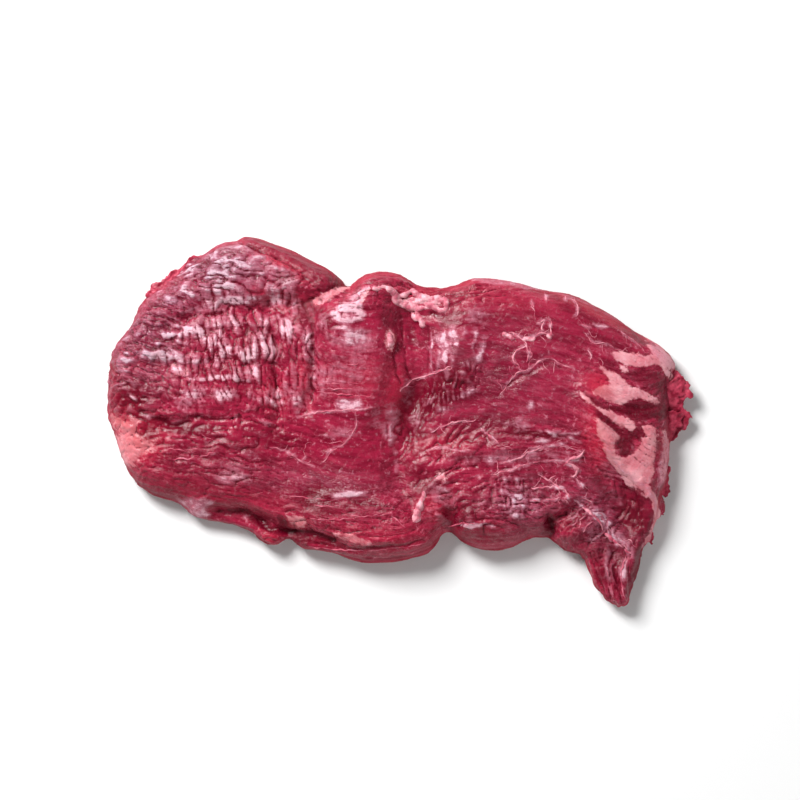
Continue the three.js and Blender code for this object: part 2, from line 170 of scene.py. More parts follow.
class Cells:
    """Irregular cells round one loose point in each square of a lattice, drawn once from a seed."""

    SIDE = 128
    SLOPE = 1.7
    FAR = 9.0

    def __init__(self, seed: int) -> None:
        """Draws the points and a value for each cell.

        Args:
            seed: What they are drawn from.
        """
        draw = np.random.default_rng(seed)
        self.shift = draw.uniform(0.1, 0.9, (self.SIDE, self.SIDE, 2))
        self.value = draw.random((self.SIDE, self.SIDE))

    def at(self, x: Array, y: Array) -> tuple[Array, Array]:
        """Looks up the cell that each place lies in.

        Args:
            x: Places along the first axis, with cells of size 1.
            y: Places along the second axis.

        Returns:
            How far inside its cell each place lies, from 0 to 1, and the cell's own value, from 0 to 1.
        """
        i, j = np.floor(x).astype(int), np.floor(y).astype(int)
        first, second, value = np.full(len(x), self.FAR), np.full(len(x), self.FAR), np.zeros(len(x))
        for di, dj in ((a, b) for a in (-1, 0, 1) for b in (-1, 0, 1)):
            m, n = (i + di) % self.SIDE, (j + dj) % self.SIDE
            gap = np.hypot(i + di + self.shift[m, n, 0] - x, j + dj + self.shift[m, n, 1] - y)
            closer = gap < first
            second = np.where(closer, first, np.minimum(second, gap))
            value = np.where(closer, self.value[m, n], value)
            first = np.minimum(first, gap)
        return np.clip(self.SLOPE * (second - first), 0, 1), value


class Tone(Enum):
    """What a patch of the surface is made of, and where shade and highlights are painted on it. The values
    name the mesh's attributes.
    """

    FAT = "fat"
    FILM_AND_HIGHLIGHT = "film_and_highlight"
    DARK = "dark_and_shade"
    VIVID = "vivid"
    FIBRE = "fibre"
    SILK = "silk"
    DULL = "dull"


def turned(at: Point, degrees: float, x: Array, y: Array) -> tuple[Array, Array]:
    """Places seen from a centre, along and across an axis turned by some degrees."""
    c, s = math.cos(math.radians(degrees)), math.sin(math.radians(degrees))
    return (x - at[0]) * c + (y - at[1]) * s, (y - at[1]) * c - (x - at[0]) * s


@dataclass(frozen=True)
class Blot:
    """A soft oval.

    Args:
        x: Its middle along the first axis.
        y: Its middle along the second axis.
        long: How far it reaches along its own axis.
        broad: How far it reaches across it.
        amount: Its strength in the middle.
        turn: Its own axis, in degrees from X.
    """

    x: float
    y: float
    long: float
    broad: float
    amount: float = 1
    turn: float = 0

    def cover(self, x: Array, y: Array) -> Array:
        """Its strength at each place."""
        along, across = turned((self.x, self.y), self.turn, x, y)
        return self.amount * np.exp(-0.5 * ((along / self.long) ** 2 + (across / self.broad) ** 2))


@dataclass(frozen=True)
class Stroke:
    """A line with a width, which narrows to both ends.

    Args:
        path: Its points, from one end to the other.
        width: Half its breadth.
        amount: Its strength along the middle.
        soft: How far its edges fade.
    """

    path: Path
    width: float
    amount: float = 1
    soft: float = 1.2

    BLUNT = 0.06
    STEP = 1.5

    def cover(self, x: Array, y: Array) -> Array:
        """Measures its strength.

        Args:
            x: Places along the first axis.
            y: Places along the second axis.

        Returns:
            The strength at each place.
        """
        out = np.zeros(len(x))
        near, gap, t = measured(smooth_path(self.path, self.STEP), self.width + self.soft + 1, x, y)
        best, rows = gap.argmin(1), np.arange(len(near))
        half = self.width * tapered((best + t[rows, best]) / gap.shape[1], self.BLUNT)
        out[near] = self.amount * np.clip(0.5 + (half - gap[rows, best]) / self.soft, 0, 1)
        return out


@dataclass(frozen=True)
class Area:
    """A closed patch.

    Args:
        outline: Its corners in order, either way round.
        amount: Its strength inside.
        soft: How far its edge fades.
    """

    outline: Path
    amount: float = 1
    soft: float = 2.4

    STEP = 2.0

    def cover(self, x: Array, y: Array) -> Array:
        """Measures its strength.

        Args:
            x: Places along the first axis.
            y: Places along the second axis.

        Returns:
            The strength at each place.
        """
        out = np.zeros(len(x))
        line = smooth_path((*self.outline, *self.outline[:2]), self.STEP)
        near, gap, _ = measured(line, self.soft, x, y)
        (ax, ay), (bx, by) = line[:-1].T, line[1:].T
        rise = np.where(np.abs(by - ay) < TINY, TINY, by - ay)
        crossed = ((ay > y[near, None]) != (by > y[near, None])) & (
            x[near, None] < ax + (y[near, None] - ay) * (bx - ax) / rise)
        depth = np.where(crossed.sum(1) % 2 == 1, gap.min(1), -gap.min(1))
        out[near] = self.amount * np.clip(0.5 + depth / self.soft, 0, 1)
        return out


# Where each tone lies. What a row leaves out is as its class has it.
# Patches: outline, strength and how far the edge fades
AREAS = {
    Tone.FAT: [
        ((-142, 5, -137, 1, -132, 3, -128, 1, -123, -3, -121, -8, -123, -13, -128, -17, -132, -20,
          -136, -22, -141, -15, -143, -9, -140, -4, -144, 1), 1, 7),
        ((105, 34.5, 111, 35, 117, 35, 122, 32, 126, 29, 120, 27.5, 114, 28, 109, 30),),
        ((98, 29, 103, 26, 108, 24, 113, 18, 120, 16, 126, 12.5, 129, 9.5, 124, 10, 117, 12, 111, 9,
          106, 9.5, 100, 12.5, 95, 15.5, 101, 18, 105, 19, 103, 23),),
        ((109, 29, 113, 27.5, 114, 24, 110, 25.5), 0.8),
        ((89, 16, 93, 13, 97, 8.5, 102, 6.5, 108, 3.5, 113, 2, 117, -1.5, 117, -4, 111, -3, 106, 0, 100, 4,
          96, 8, 91, 12),),
        ((97, 1, 102, -1, 107, -4, 109, -8, 106, -11, 108, -17, 112, -17, 115, -17, 118, -13, 121, -9,
          118, -5, 115, -3, 121, -1.5, 126, -2, 128, -7, 127, -14, 126, -20, 126.5, -26, 124, -31, 119, -30,
          115, -28, 108, -24, 103, -16, 99, -8),),
        ((123, 43, 129, 40, 134, 35, 138, 29, 137, 26, 133, 26, 128, 28, 123, 29, 121, 33, 126, 34,
          123, 37), 0.85),
        ((-57, -46, -53, -45.5, -48, -47, -46, -51, -50, -53, -55, -51), 0.62),
        ((-114, 29, -110, 29, -107, 28, -105, 24, -110, 22, -113, 25), 0.6),
    ],
    Tone.FILM_AND_HIGHLIGHT: [
        ((-111, 73, -97, 84, -80, 90, -69, 85, -55, 76, -50, 67, -62, 62, -78, 66, -100, 62, -117, 66),
          0.52, 8),
        ((-114, -38.5, -105, -37.5, -94, -38, -93, -41.5, -97, -44, -94, -46.5, -100, -49, -104, -47,
          -108, -42.5), 0.72),
        # The hump's patch: film with a painted highlight on it
        ((-15, 67, -19, 61, -16.5, 52, -25, 48.5, -33.5, 51, -32.5, 56, -27.5, 61, -21, 66), 0.95, 3),
        ((-32, 11, -26, 11.5, -19, 11.5, -19, 7, -28, 6, -33, 7.5), 0.78),
        ((-35, -36, -30, -35, -22, -34, -16, -35, -21, -37, -27, -38, -32, -37.5), 0.9),
        ((124, 42, 129, 39, 134, 34, 138, 28, 135, 26, 129, 31, 124, 36), 0.6),
        ((131, -4, 134, -6, 135, -19, 133, -29, 129, -33, 128, -24, 130, -12), 0.6),
        ((18, 45, 26, 46, 30, 43, 29, 38, 25, 35, 24, 30, 20, 30, 18, 36), 0.9, 3),
        ((96, 49.5, 101, 49, 104.5, 47.5, 101, 46, 97, 47.5), 0.82),
        ((50, -28, 56, -28, 61, -30, 61, -40, 57, -48, 53, -46, 52, -37), 0.56, 5),
    ],
    Tone.DARK: [
        ((-79, 93, -72, 93, -57, 87, -40, 81, -27, 71, -36, 65, -45, 69, -52.6, 76.7, -64.8, 83, -78, 88),
          0.6),
        ((92, 15, 97, 12, 102, 8.5, 109, 8, 113, 10, 120, 11, 127, 9, 133, 10, 135, 3, 130, 1, 122, 2,
          117, 1, 110, 4, 101, 6, 95, 9), 0.85),
        ((96, 7, 101, 4, 107, 0, 113, -4, 119, -1, 123, -7, 117, -9, 117, -14, 113, -18, 108, -14, 107, -9,
          109, -6, 103, -2, 97, 2), 0.8),
        ((110, 23, 117, 26, 126, 26, 134, 20, 134, 10, 126, 16, 116, 20), 0.62),
    ],
}

# Lines: path, half the breadth, strength and how far the edges fade
LINES = {
    Tone.FAT: [
        ((98, 2, 102, -9, 106, -18, 111, -24, 118, -29, 123, -33, 127, -38), 2.1),
        ((119, -29, 123, -33, 127, -39, 128.5, -49, 125, -57, 121.5, -62), 1.7),
        ((131, 27, 136, 22, 138.5, 17, 137.5, 13), 1.6, 0.8),
        ((-26.5, 67.5, -35, 63.5, -42, 59.5, -46, 56), 2.2, 0.85),
        ((-15, 66, -19, 61, -22, 56), 1.6, 0.7),
        ((-33, -56, -27, -57, -20, -59, -14, -61), 2, 0.62),
        ((132, -5, 133, -17, 130.5, -29), 2.6, 0.62),
        ((111, -26, 117, -32, 123, -37), 2.5, 0.8),
    ],
    Tone.FILM_AND_HIGHLIGHT: [
        # The first rows: painted highlight lines on the glossy middle
        *(((-43, y, -30, y - 0.6, -10, y + 0.3), 0.5, 0.5) for y in (33, 27.5, 23.5, 20, 16.5, 14)),
        ((-112, 52, -100, 57, -85, 59, -68, 62, -56, 61), 3, 0.55, 5),
        ((90, 8, 94, -2, 98, -12, 104, -22, 113, -30), 4, 0.35, 4),
        # A painted highlight band along the lower edge of the left lobe
        ((-104, 21.5, -98, 21, -88, 22.5, -80, 21, -75, 20), 1.5, 0.95),
        ((100, -6, 104, -14, 110, -23, 118, -29, 123, -33, 127, -39, 128.5, -49, 125, -57, 121.5, -62), 0.8,
          0.7, 1.4),
        ((15.5, 47, 15.5, 40, 15.5, 32, 15, 26), 0.9, 0.66),
        ((36, 71, 50, 70.5, 62, 68.5, 73, 66.5), 1.7, 0.62),
        ((73, 66.5, 87, 62, 100, 56, 116, 47, 124, 42), 1.2, 0.4),
        ((68, -4, 76, -5, 84, -6, 90, -5), 1.4, 0.62),
        ((68, -9.5, 73, -9, 80, -7, 90, -10), 1.3, 0.66),
        ((90, -38, 98, -47, 103, -54, 110, -60, 116, -66), 3.4, 0.64, 4),
        ((102, -70, 104, -79, 106, -87), 1.4, 0.8),
        ((113.5, -64, 111, -78, 113.5, -91), 1.5, 0.6),
        ((30, -51.5, 38, -51, 47, -52), 1.6, 0.85),
    ],
    Tone.DARK: [
        # Dark lines: darker meat in places, and painted shade in the long crevice near the lower edge and
        # along the rims
        ((-144, -2, -142, -14, -136, -25, -127, -33), 3, 0.45, 3),
        ((-140, 6, -128, 3, -118, -1, -105, -3, -88, -3), 3.2, 0.85, 4),
        ((60, 68, 80, 63, 100, 56, 118, 44, 132, 34), 5, 0.55, 6),
        ((-86, -44.5, -77, -46, -71, -50, -65, -53, -58, -54.5, -50, -56, -42, -57, -33, -60), 2, 1, 2.4),
        ((44, -6, 60, -5, 78, -7, 92, -8), 1.6, 0.8),
        ((135.5, 28, 135, 15, 136, 5, 136.5, -5), 1, 0.6),
        ((-45, -60, -25, -62.5, -8, -62, 8, -60), 1.2, 0.7),
        ((-60, -47, -58, -50, -60, -53), 2.4, 0.8),
    ],
    Tone.VIVID: [
        ((80, 64, 100, 56, 116, 46), 4, 0.75, 4),
    ],
    Tone.DULL: [
        ((138, 26, 138, 12, 137, -2), 4, 0.9, 4),
    ],
}

# Soft ovals: middle, reach along and across, strength and turn
OVALS = {
    Tone.FAT: [
        (-5.2, 41, 2, 4, 1, 5), (20.5, -27, 2, 3, 0.9),
    ],
    Tone.FILM_AND_HIGHLIGHT: [
        # Film patches, and painted highlight spots and glints among them, such as the first three on the
        # plateau
        (-86, 82, 5, 2.4, 0.8, 20), (-87, 69, 6, 2.2, 0.85, -8), (-77, 68, 3.5, 2.6, 0.8),
        (-50, 55, 11, 4, 0.35, -14), (-4, 3, 4, 6, 0.6), (60, 0, 4, 7, 0.5), (24, 34, 9, 9, 0.5, 30),
        (-67, 40, 3.4, 8, 0.9), (-54, 13, 9, 5, 0.7), (38, 53, 5, 4, 0.6), (62, -17, 34, 3.5, 0.5, 2),
        (116, -22, 10, 11, 0.35), (20, -36, 5, 6, 0.6), (-98, 64, 7, 9, 0.6), (-64, 61, 6, 3, 0.7),
        (4, 12, 2.5, 9, 0.5), (-12, 2, 2.5, 6, 0.5), (-88, 36, 4, 4, 0.7), (96, -54, 4, 4, 0.5),
        (-83, 59.5, 7, 2.3, 0.95, -4), (-106, 46, 5, 2.6, 0.95, 12), (-115, 40, 5, 4, 0.7, 25),
        (-97, 44, 3.4, 7, 0.75, 12), (-90, 44, 2.6, 6, 0.7, 4), (-82, 49, 3, 4, 0.72),
        (-72, 40, 2.6, 6, 0.8, 8), (-57, 47.5, 4, 5.5, 0.88), (-46.5, 40, 2.4, 4.5, 0.8),
        (-94, 32, 18, 3, 0.4, 4), (-74, 30, 4, 4, 0.7), (-88, 13.5, 5, 2.4, 0.9, 4),
        (-102, 13, 6, 4, 0.62, 20), (-84, -27, 7, 5, 0.58, 10), (-77.5, -48, 2, 1, 0.6),
        (-29, 46.5, 4, 0.9, 0.9), (-23, 41, 8, 4, 1, 3), (-39, 49.5, 1.8, 3.6, 0.8, 5),
        (-33, 25, 6, 3, 0.56), (-29, -5, 7, 3.4, 0.6, -8), (-28, 24, 20, 14, 0.42),
        (40.5, 36, 1.7, 5, 0.95, -15), (37, 42, 1.2, 6, 0.75, -4), (31, 13.5, 7, 1.6, 0.6, 22),
        (17, 12, 4, 2.4, 0.6, 40), (8, 1, 5, 3, 0.55, 50), (-6, -6, 3, 6, 0.5), (-2, -22, 1.5, 6, 0.58, 5),
        (22, 5.5, 2.4, 1.4, 0.9, 20), (65, 9, 1.6, 2.2, 0.95), (108, -76, 3, 9, 0.55, 8),
        (45, -19, 4, 2, 0.72), (104, -24, 3, 5, 0.5, 35),
    ],
    Tone.DARK: [
        # Dark patches: darker meat in places, and painted shade along creases and in folds
        (-135, 12, 10, 10, 0.95, 20), (-130, 38, 16, 24, 0.4, -20), (-88, 78, 30, 12, 0.5),
        (106, -62, 12, 14, 0.55), (68, -33, 12, 5, 0.65), (-85, 85, 16, 5, 0.6), (-57, 71, 5, 5, 0.9),
        (-40, -38, 11, 8), (-20, -40, 10, 6, 0.7), (-85, -11, 28, 5, 0.6), (-92, 62, 6, 4, 0.8),
        (-121, 33, 5, 5, 0.8), (16, -32, 9, 3, 0.9, 20), (60, 48, 34, 14, 0.5, -8),
        (-10, -27, 40, 5, 0.4, -3), (-125, -4, 6, 6, 0.9), (-143, 27, 4, 9, 0.8), (80, 12, 11, 8, 0.4),
        (24, 62, 10, 5, 0.6), (49, 27, 5, 10, 0.7, -25), (9, -3, 5, 9, 0.7), (45, -8, 8, 5, 0.6),
        (32, -46, 7, 7, 0.8), (-50, -59, 6, 3), (-62, -53, 5, 2, 0.7), (102, -77, 4, 5, 0.9),
        (110, -70, 3, 3, 0.9), (-120, -33, 22, 8, 0.5, -14), (-92, -28, 34, 14, 0.55, -6),
        (-50, 59, 14, 3.4, 0.85, -24), (-66, 30, 1.6, 16, 0.4), (-62.5, 26, 1.3, 17, 0.4, -2),
        (-43.5, 30, 1.2, 22, 0.5), (-8, 54, 7, 10, 0.4, -6), (6, 48, 3, 8, 0.45), (34, -6, 19, 6, 0.6, 6),
        (56, 18, 14, 7, 0.6, 25), (19, 55, 5, 1.6, 0.8, 10), (30, 31, 6, 8, 0.62, 30),
        (16, 13, 24, 8, 1.1, 34), (34, 27, 10, 4, 0.8, 30), (43, 15, 16, 5, 0.5, 18),
        (6, -4, 6, 9, 0.75, -20), (50, 0, 14, 8, 0.55), (8, -30, 5, 6, 0.55, 40),
        (-18, -14, 13, 3.5, 0.5, 6), (-26, -31, 20, 3, 0.35, -8), (26, -48, 4, 8, 0.85, 20),
        (40, -56, 16, 5, 0.55, 6), (76, 28, 7, 3, 0.5), (92, 52, 22, 7, 0.45, -25),
        (105, 40, 10, 3.4, 0.6, -28), (104, 29, 5, 4, 0.7), (75, -52, 3.4, 7, 1, -10),
        (88, -48, 9, 3, 0.8, 35), (100, -32, 3, 6, 0.7, 35), (108, -38, 8, 4, 0.7, -35),
        (117, -46, 8, 12, 1, 10), (98, -66, 7, 3, 0.75, 10), (118.5, -74, 2.4, 15, 1, -9),
        (130, -12, 4, 3, 0.5),
    ],
    Tone.VIVID: [
        (-122, 67.5, 6, 3, 0.6, 30), (-110, 75, 5, 2.4, 0.6, 30), (-60, 62, 13, 4, 0.6, -8),
        (-62, 14, 7, 8, 0.5), (-48, 20, 5, 11, 0.55), (-15, -58, 32, 8, 0.4), (-52, -50, 7, 4, 0.6),
        (45, -55, 16, 7, 0.4), (-143, 22, 5, 14, 0.7), (-84, -38, 56, 8, 0.35, -12),
        (-119, 29, 4, 2.4, 0.5), (-138, 2, 7, 7), (-130, -8, 10, 11, 0.9), (-65, -58, 7, 4.5, 0.5),
        (17, 66, 16, 4, 0.5, 4), (45, 62, 30, 7, 0.35, -6), (98, 19, 6, 5, 0.8, -20),
        (97, -8, 5, 13, 0.8, 14), (-134, 28, 8, 10, 0.6), (24, -10, 16, 5, 0.5, 8), (-20, 22, 20, 10, 0.5),
        (-2, 12, 8, 15, 0.5), (18, -40, 8, 9, 0.5), (108, -12, 22, 12, 0.25), (-62, 81, 14, 4, 0.8, -30),
        (20, -12, 9, 5, 0.4, 20), (84, -50, 7, 5, 0.45), (133, -13, 4, 7, 0.7), (98, -78, 5, 12, 0.35, 20),
    ],
    Tone.FIBRE: [
        (-25, -48, 45, 14, 1, 2), (-95, -28, 40, 13, 0.8, -8), (14, 65, 30, 6, 1, 4),
        (60, -45, 24, 12, 0.9), (100, -66, 10, 30, 0.9, 20), (113, 5, 22, 34, 1, -30),
        (60, -12, 34, 12, 0.5, 4), (-52, 77, 24, 6, 0.9, -30), (-80, 34, 40, 26, 0.3),
    ],
    Tone.SILK: [
        (-131, 38, 15, 22, 1, -24), (-92, 76, 22, 9, 1, 4), (-112, 62, 12, 8, 0.9, 30),
        (50, 24, 34, 24, 0.35), (-38, -30, 26, 6, 0.4, -4), (-26, 24, 18, 14, 0.25), (60, -40, 12, 10, 0.7),
        (100, -46, 18, 8, 0.7, -40),
    ],
    Tone.DULL: [
        (114, -48, 9, 14, 0.3), (25, 38, 8, 10, 0.4), (-46, 56, 6, 6, 0.9),
    ],
}

MARKS: dict[Tone, list[Area | Stroke | Blot]] = {
    tone: [
        shape(*row)
        for shape, rows in ((Area, AREAS), (Stroke, LINES), (Blot, OVALS))
        for row in rows.get(tone, ())
    ]
    for tone in Tone
}


@dataclass(frozen=True)
class Crease:
    """A narrow cut or fold line.

    Args:
        path: Its points.
        width: Half its breadth at the top.
        depth: How deep it goes. A negative depth is a welt.
    """

    path: Path
    width: float
    depth: float

    def lift(self, x: Array, y: Array) -> Array:
        """How far it moves the surface outwards at each place."""
        return -self.depth * Stroke(self.path, self.width / 2, 1, 2 * self.width).cover(x, y)


CREASES = [Crease(*row) for row in (
    ((-105, 51, -100, 53.5, -87.5, 53.5, -77.5, 51, -75, 56), 1.1, 1),
    ((-64, 46, -62.5, 36, -61.5, 23.5, -60.5, 11), 1.3, 1.3),
    ((-43.5, 60, -43, 51, -43.5, 38.5, -44, 21, -43.5, 11), 1.4, 1.5),
    ((-53.5, 48.5, -51.5, 38.5, -52, 28.5, -50.5, 18.5), 0.9, 1.1),
    ((-76.5, 54, -76, 43.5, -74, 33.5), 1, 1.4),
    ((-86, 51, -85, 41), 0.9, 1),
    ((-100, 46, -102, 36, -104, 27), 0.9, 1.2),
    ((-125, 40, -115, 44.5, -107.5, 48.5, -104, 52), 0.9, 1.2),
    ((-130, 6, -125, 3, -120, 1, -115, -1.5, -110, -1.5, -105, 1, -97.5, 2, -87.5, 1, -80, 2.5), 1.4, 2.3),
    ((-91, -45, -84, -44, -77.5, -45.5, -71.5, -49, -66, -53, -60, -54, -52.5, -55.5, -44, -56.5,
      -35, -59.5, -27.5, -60.5), 1.8, 2.8),
    ((9, -28, 12.5, -24, 16, -20, 20, -16.5), 1.1, 1.9),
    ((17.5, -26, 22.5, -25, 27.5, -24, 32.5, -22, 37.5, -21.5), 1.1, 1.7),
    ((6.5, -31.5, 10, -29, 15, -28), 1, 1.5),
    ((15, 7, 10, -1.5, 6, -5.5, 4, -9), 1.5, 1.7),
    ((-2.5, 40, -2, 26, 0, 20), 1, 1.5),
    ((2.5, 40, 4, 28.5, 6, 21), 1, 1.4),
    ((1, 54, 1, 46, 1, 38.5), 1, 1.5),
    ((13.6, 48, 14, 38, 13.6, 27), 0.8, 1),
    ((15, 54.5, 20, 53, 23.5, 56), 1.3, 1.5),
    ((-26.5, 69, -32.5, 66, -40, 62.5, -47, 59, -56, 58), 1.4, 2.2),
    ((-79, 89.5, -65, 84, -53, 77.7, -45.5, 70, -40, 65), 1.3, 2.4),
    ((-79, 87, -66, 81.5, -54.5, 75, -47.5, 67.5), 1.5, -1.1),
    ((80, -54, 86, -49, 92.5, -45), 1.1, 2.1),
    ((74, -47, 76, -53, 75, -58), 2.6, 4),
    ((92.5, -63, 96, -60.5, 100, -59), 1, 1.8),
    ((96, -20, 101, -25, 107.5, -30.5, 115, -35), 1.8, 2.1),
    ((91.5, 15, 96, 11, 101, 8, 107.5, 7, 120, 6, 127.5, 8.5), 2.4, 0.9),
    ((96, 6, 101, 3, 106, -1.5, 110, -5), 2.2, 0.9),
    ((108, -66, 107, -74, 109, -84, 112, -91), 1.4, 1.8),
    ((116, -68, 115, -78, 116, -88), 1.2, 1.5),
    ((111.5, -66, 110.8, -76, 113, -90), 1.4, -1.1),
    ((132, 23.5, 134.5, 13.5, 135.5, 3.5, 136, -4), 1, 1.1),
    ((-45, -61, -25, -63.5, -10, -63, 5, -61, 12.5, -59), 1, 1.2),
    ((-50, -64, -30, -67, -15, -68.5, 0, -66.5), 0.9, 0.9),
    ((48, 12, 55, 19, 60, 22, 67, 26.5, 74, 29.5, 79, 28), 1, 0.9),
    ((-40, 9, -28, 10, -14, 12), 0.9, 0.6),
    ((-42, 14, -30, 14, -10, 13), 0.9, 0.5),
    ((-84, 57, -92, 60, -98, 61), 0.9, 0.9),
    ((-120, -17, -105, -15, -90, -14, -72, -13), 1, 0.8),
    ((-122, -24, -104, -22, -84, -20), 0.9, 0.6),
    ((-62, 59, -64, 66, -60, 72), 1.1, 1.1),
    ((-72, 60, -75, 66, -72, 71), 1, 1),
)]


class Texture(Enum):
    """The kinds of small bumps."""

    WRINKLES = "wrinkles"
    CELLS = "cells"
    LUMPS = "lumps"


@dataclass(frozen=True)
class Roughness:
    """A field of small bumps that fades out from a middle.

    Args:
        place: Where it is and how strong, in millimetres of height.
        size: The size of a bump along and across the field's axis.
        run: The way the bumps run, in degrees from X.
        film_and_highlight: How much film their tops carry, painted as a highlight, with less in their valleys.
        texture: What the bumps are like.
    """

    place: Blot
    size: Point
    run: float = 0
    film_and_highlight: float = 0
    texture: Texture = Texture.WRINKLES

    # How far bumps wander off their rows, and over what distance, in millimetres
    WANDER = 1.5
    WAVE = 7

    def form(self, noise: Noise, cells: Cells, x: Array, y: Array) -> Array:
        """Shapes the bumps.

        Args:
            noise: What wrinkles and lumps are taken from.
            cells: What cells are taken from.
            x: Places along the grain.
            y: Places across it.

        Returns:
            The bumps' own height at each place, about -1 to 1.
        """
        along, across = turned((0, 0), self.run, x, y)
        wx, wy = x / self.WAVE, y / self.WAVE
        u = (along + self.WANDER * noise.at(wx, wy + 40)) / self.size[0]
        v = (across + self.WANDER * noise.at(wx + 60, wy)) / self.size[1]
        if self.texture is Texture.CELLS:
            inside, value = cells.at(u, v)
            return 1.3 * np.sqrt(inside) * (0.4 + 0.9 * value) - 0.7
        return noise.rough(u, v) if self.texture is Texture.LUMPS else noise.ridged(u, v)


ROUGHNESSES = [Roughness(Blot(*place), *rest) for place, *rest in (
    ((-128, 36, 15, 27, 0.7), (17, 5), -14, 0.7),
    ((-128, 36, 14, 27, 1.1), (9, 2.4), -20, 1.2),
    ((-92, 76, 22, 9, 0.5), (8, 4.5), -6, 0.7, Texture.LUMPS),
    ((-91, 74, 23, 10, 1.1, -3), (6, 2.4), -10, 0.6),
    ((14, 66, 34, 6, 1.4, 4), (7, 2.2), 12, 0),
    ((-62, 80, 16, 3, 0.6, -27), (8, 1.6), -27, 0),
    ((-84, 40, 34, 26, 0.8), (12, 10), 8, 0.4, Texture.CELLS),
    ((-132, 9, 14, 9, 0.9), (6, 2.4), -10, 0.3),
    ((23, 15, 15, 5, 1, 36), (2.2, 5), -10, 0.7),
    ((3, -5, 7, 7, 0.5, 45), (2, 4), -10, 0.5),
    ((-8, -18, 4, 10, 0.4), (1.6, 5), 0, 0.7),
    ((27, 36, 9, 12, 0.35), (3, 4), 0, 0.8, Texture.LUMPS),
    ((-90, -9, 32, 9, 0.8), (8, 2), 0, 0.4),
    ((-92, -26, 28, 9, 0.7, -6), (8, 2.2), -4, 0.2),
    ((-70, 4, 14, 10, 0.6), (2.4, 5), 0, 0.5),
    ((-26, 54, 9, 8, 0.5), (10, 2), 2, 0.45),
    ((90, -52, 9, 7, 0.9), (12, 2), 40, 0.8),
    ((84, -38, 24, 12, 0.6, -20), (4, 2.6), 10, 0.7, Texture.LUMPS),
    ((114, -46, 8, 13, 0.9, 10), (5, 3.4), -60, 0.3, Texture.LUMPS),
    ((114, -46, 8, 13, 1.1, 10), (2, 5), -20, 0.2),
    ((52, -44, 24, 12), (8, 1.9), 12, 0.7),
    ((56, -38, 10, 9, 0.7), (1.8, 6), 4, 0.6),
    ((24, -30, 12, 9, 0.8), (12, 2.2), 38, 0.2),
    ((66, -7, 18, 5, 0.4), (6, 1.8), 0, 0.5),
    ((26, -9, 21, 7, 0.85, 8), (3, 7), -48, 0.2),
    ((118, -2, 16, 22, 0.4), (8, 2.4), -35, 0),
    ((104, -75, 10, 15), (2, 10), 8, 0.7),
    ((-52, 66, 13, 7, 0.6, -20), (4, 2), 20, 0.2),
    ((-20, -50, 50, 9, 0.8, 2), (18, 2.2), -2, 0.3),
    ((0, 0, 200, 200, 0.08), (9, 1.9), 0, 0.12),
    ((60, 36, 34, 22, 0.3), (14, 2.6), -6, 0.3),
    ((0, 0, 200, 200, 0.35), (9, 7), 0, 0, Texture.LUMPS),
)]


@dataclass(frozen=True)
class WrinkledLobe:
    """The upright wrinkles that cover the left lobe.

    Args:
        place: Where they lie and how high they are.
        size: The breadth and length of a wrinkle.
        film_and_highlight: How much more film their tops carry than their valleys, painted as a highlight.
        lean: How far the wrinkles lean to the left on their way up.
        slope: How far their rows rise on their way to the right.
    """

    place: Blot = Blot(-82, 35, 31, 20, 2.1)
    size: Point = (3.7, 12)
    film_and_highlight: float = 1
    lean: float = 0.12
    slope: float = 0.1

    def tops(self, noise: Noise, cells: Cells, x: Array, y: Array) -> Array:
        """Shapes the wrinkles.

        Args:
            noise: What makes them wander.
            cells: What they are taken from.
            x: Places along the grain.
            y: Places across it.

        Returns:
            From 0 in the valleys to 1 on the highest tops, for each place.
        """
        columns = x + self.lean * y + 1.8 * noise.at(x / 11, y / 9) + 0.7 * noise.at(x / 3 + 30, y / 5)
        rows = y + 2 * noise.at(x / 8 + 17, y / 14) + self.slope * x
        inside, value = cells.at(columns / self.size[0], rows / self.size[1])
        return np.sqrt(inside) * (0.55 + 0.45 * value)


class GrainLines:
    """The run of the fibres: lines that keep their share of the way between the two long edges."""

    BIN = 4.0
    REACH = (-122.0, 122.0)
    # The tail beyond this line is no part of the near edge
    NEAREST = -72.0
    SMOOTHING = 9
    # The distance across the fibres from edge to edge, and how much height adds to it
    WIDTH = 125.0
    RISE = 0.7
    # Where the tail begins, as distances towards the near edge and to the right, and how it leans
    TAIL_NEAR = (50, 70)
    TAIL_RIGHT = (78, 92)
    TAIL_LEAN = 0.2

    def __init__(self, x: Array, y: Array) -> None:
        """Reads both long edges off the outline of the meat.

        Args:
            x: The vertices' places along the grain.
            y: Their places across it.
        """
        self.places = np.arange(self.REACH[0], self.REACH[1] + self.BIN, self.BIN)
        strips = [y[np.abs(x - place) < self.BIN] for place in self.places]
        self.far = self.averaged([strip.max() for strip in strips])
        self.near = self.averaged([max(strip.min(), self.NEAREST) for strip in strips])

    def averaged(self, values: list[float]) -> Array:
        """The values as a running mean, with both ends held."""
        padded = np.pad(values, self.SMOOTHING // 2, mode="edge")
        return np.convolve(padded, np.ones(self.SMOOTHING) / self.SMOOTHING, mode="valid")

    def coordinates(self, co: Array) -> Array:
        """Turns places into places on the run of the fibres.

        Args:
            co: Points in millimetres, one row each.

        Returns:
            Along the fibres, across them, and height, in millimetres.
        """
        x, y, z = co.T
        near, far = (np.interp(x, self.places, edge) for edge in (self.near, self.far))
        across = (y - near) / (far - near) * self.WIDTH + self.RISE * z
        tail = eased(-y, *self.TAIL_NEAR) * eased(x, *self.TAIL_RIGHT)
        across = across * (1 - tail) + (x + self.TAIL_LEAN * y) * tail
        return np.column_stack([x * (1 - tail) + y * tail, across, z])


def select_only(obj: Piece) -> None:
    """Deselects everything else and makes one object active.

    Args:
        obj: The object.
    """
    bpy.ops.object.select_all(action="DESELECT")
    obj.select_set(True)
    bpy.context.view_layer.objects.active = obj


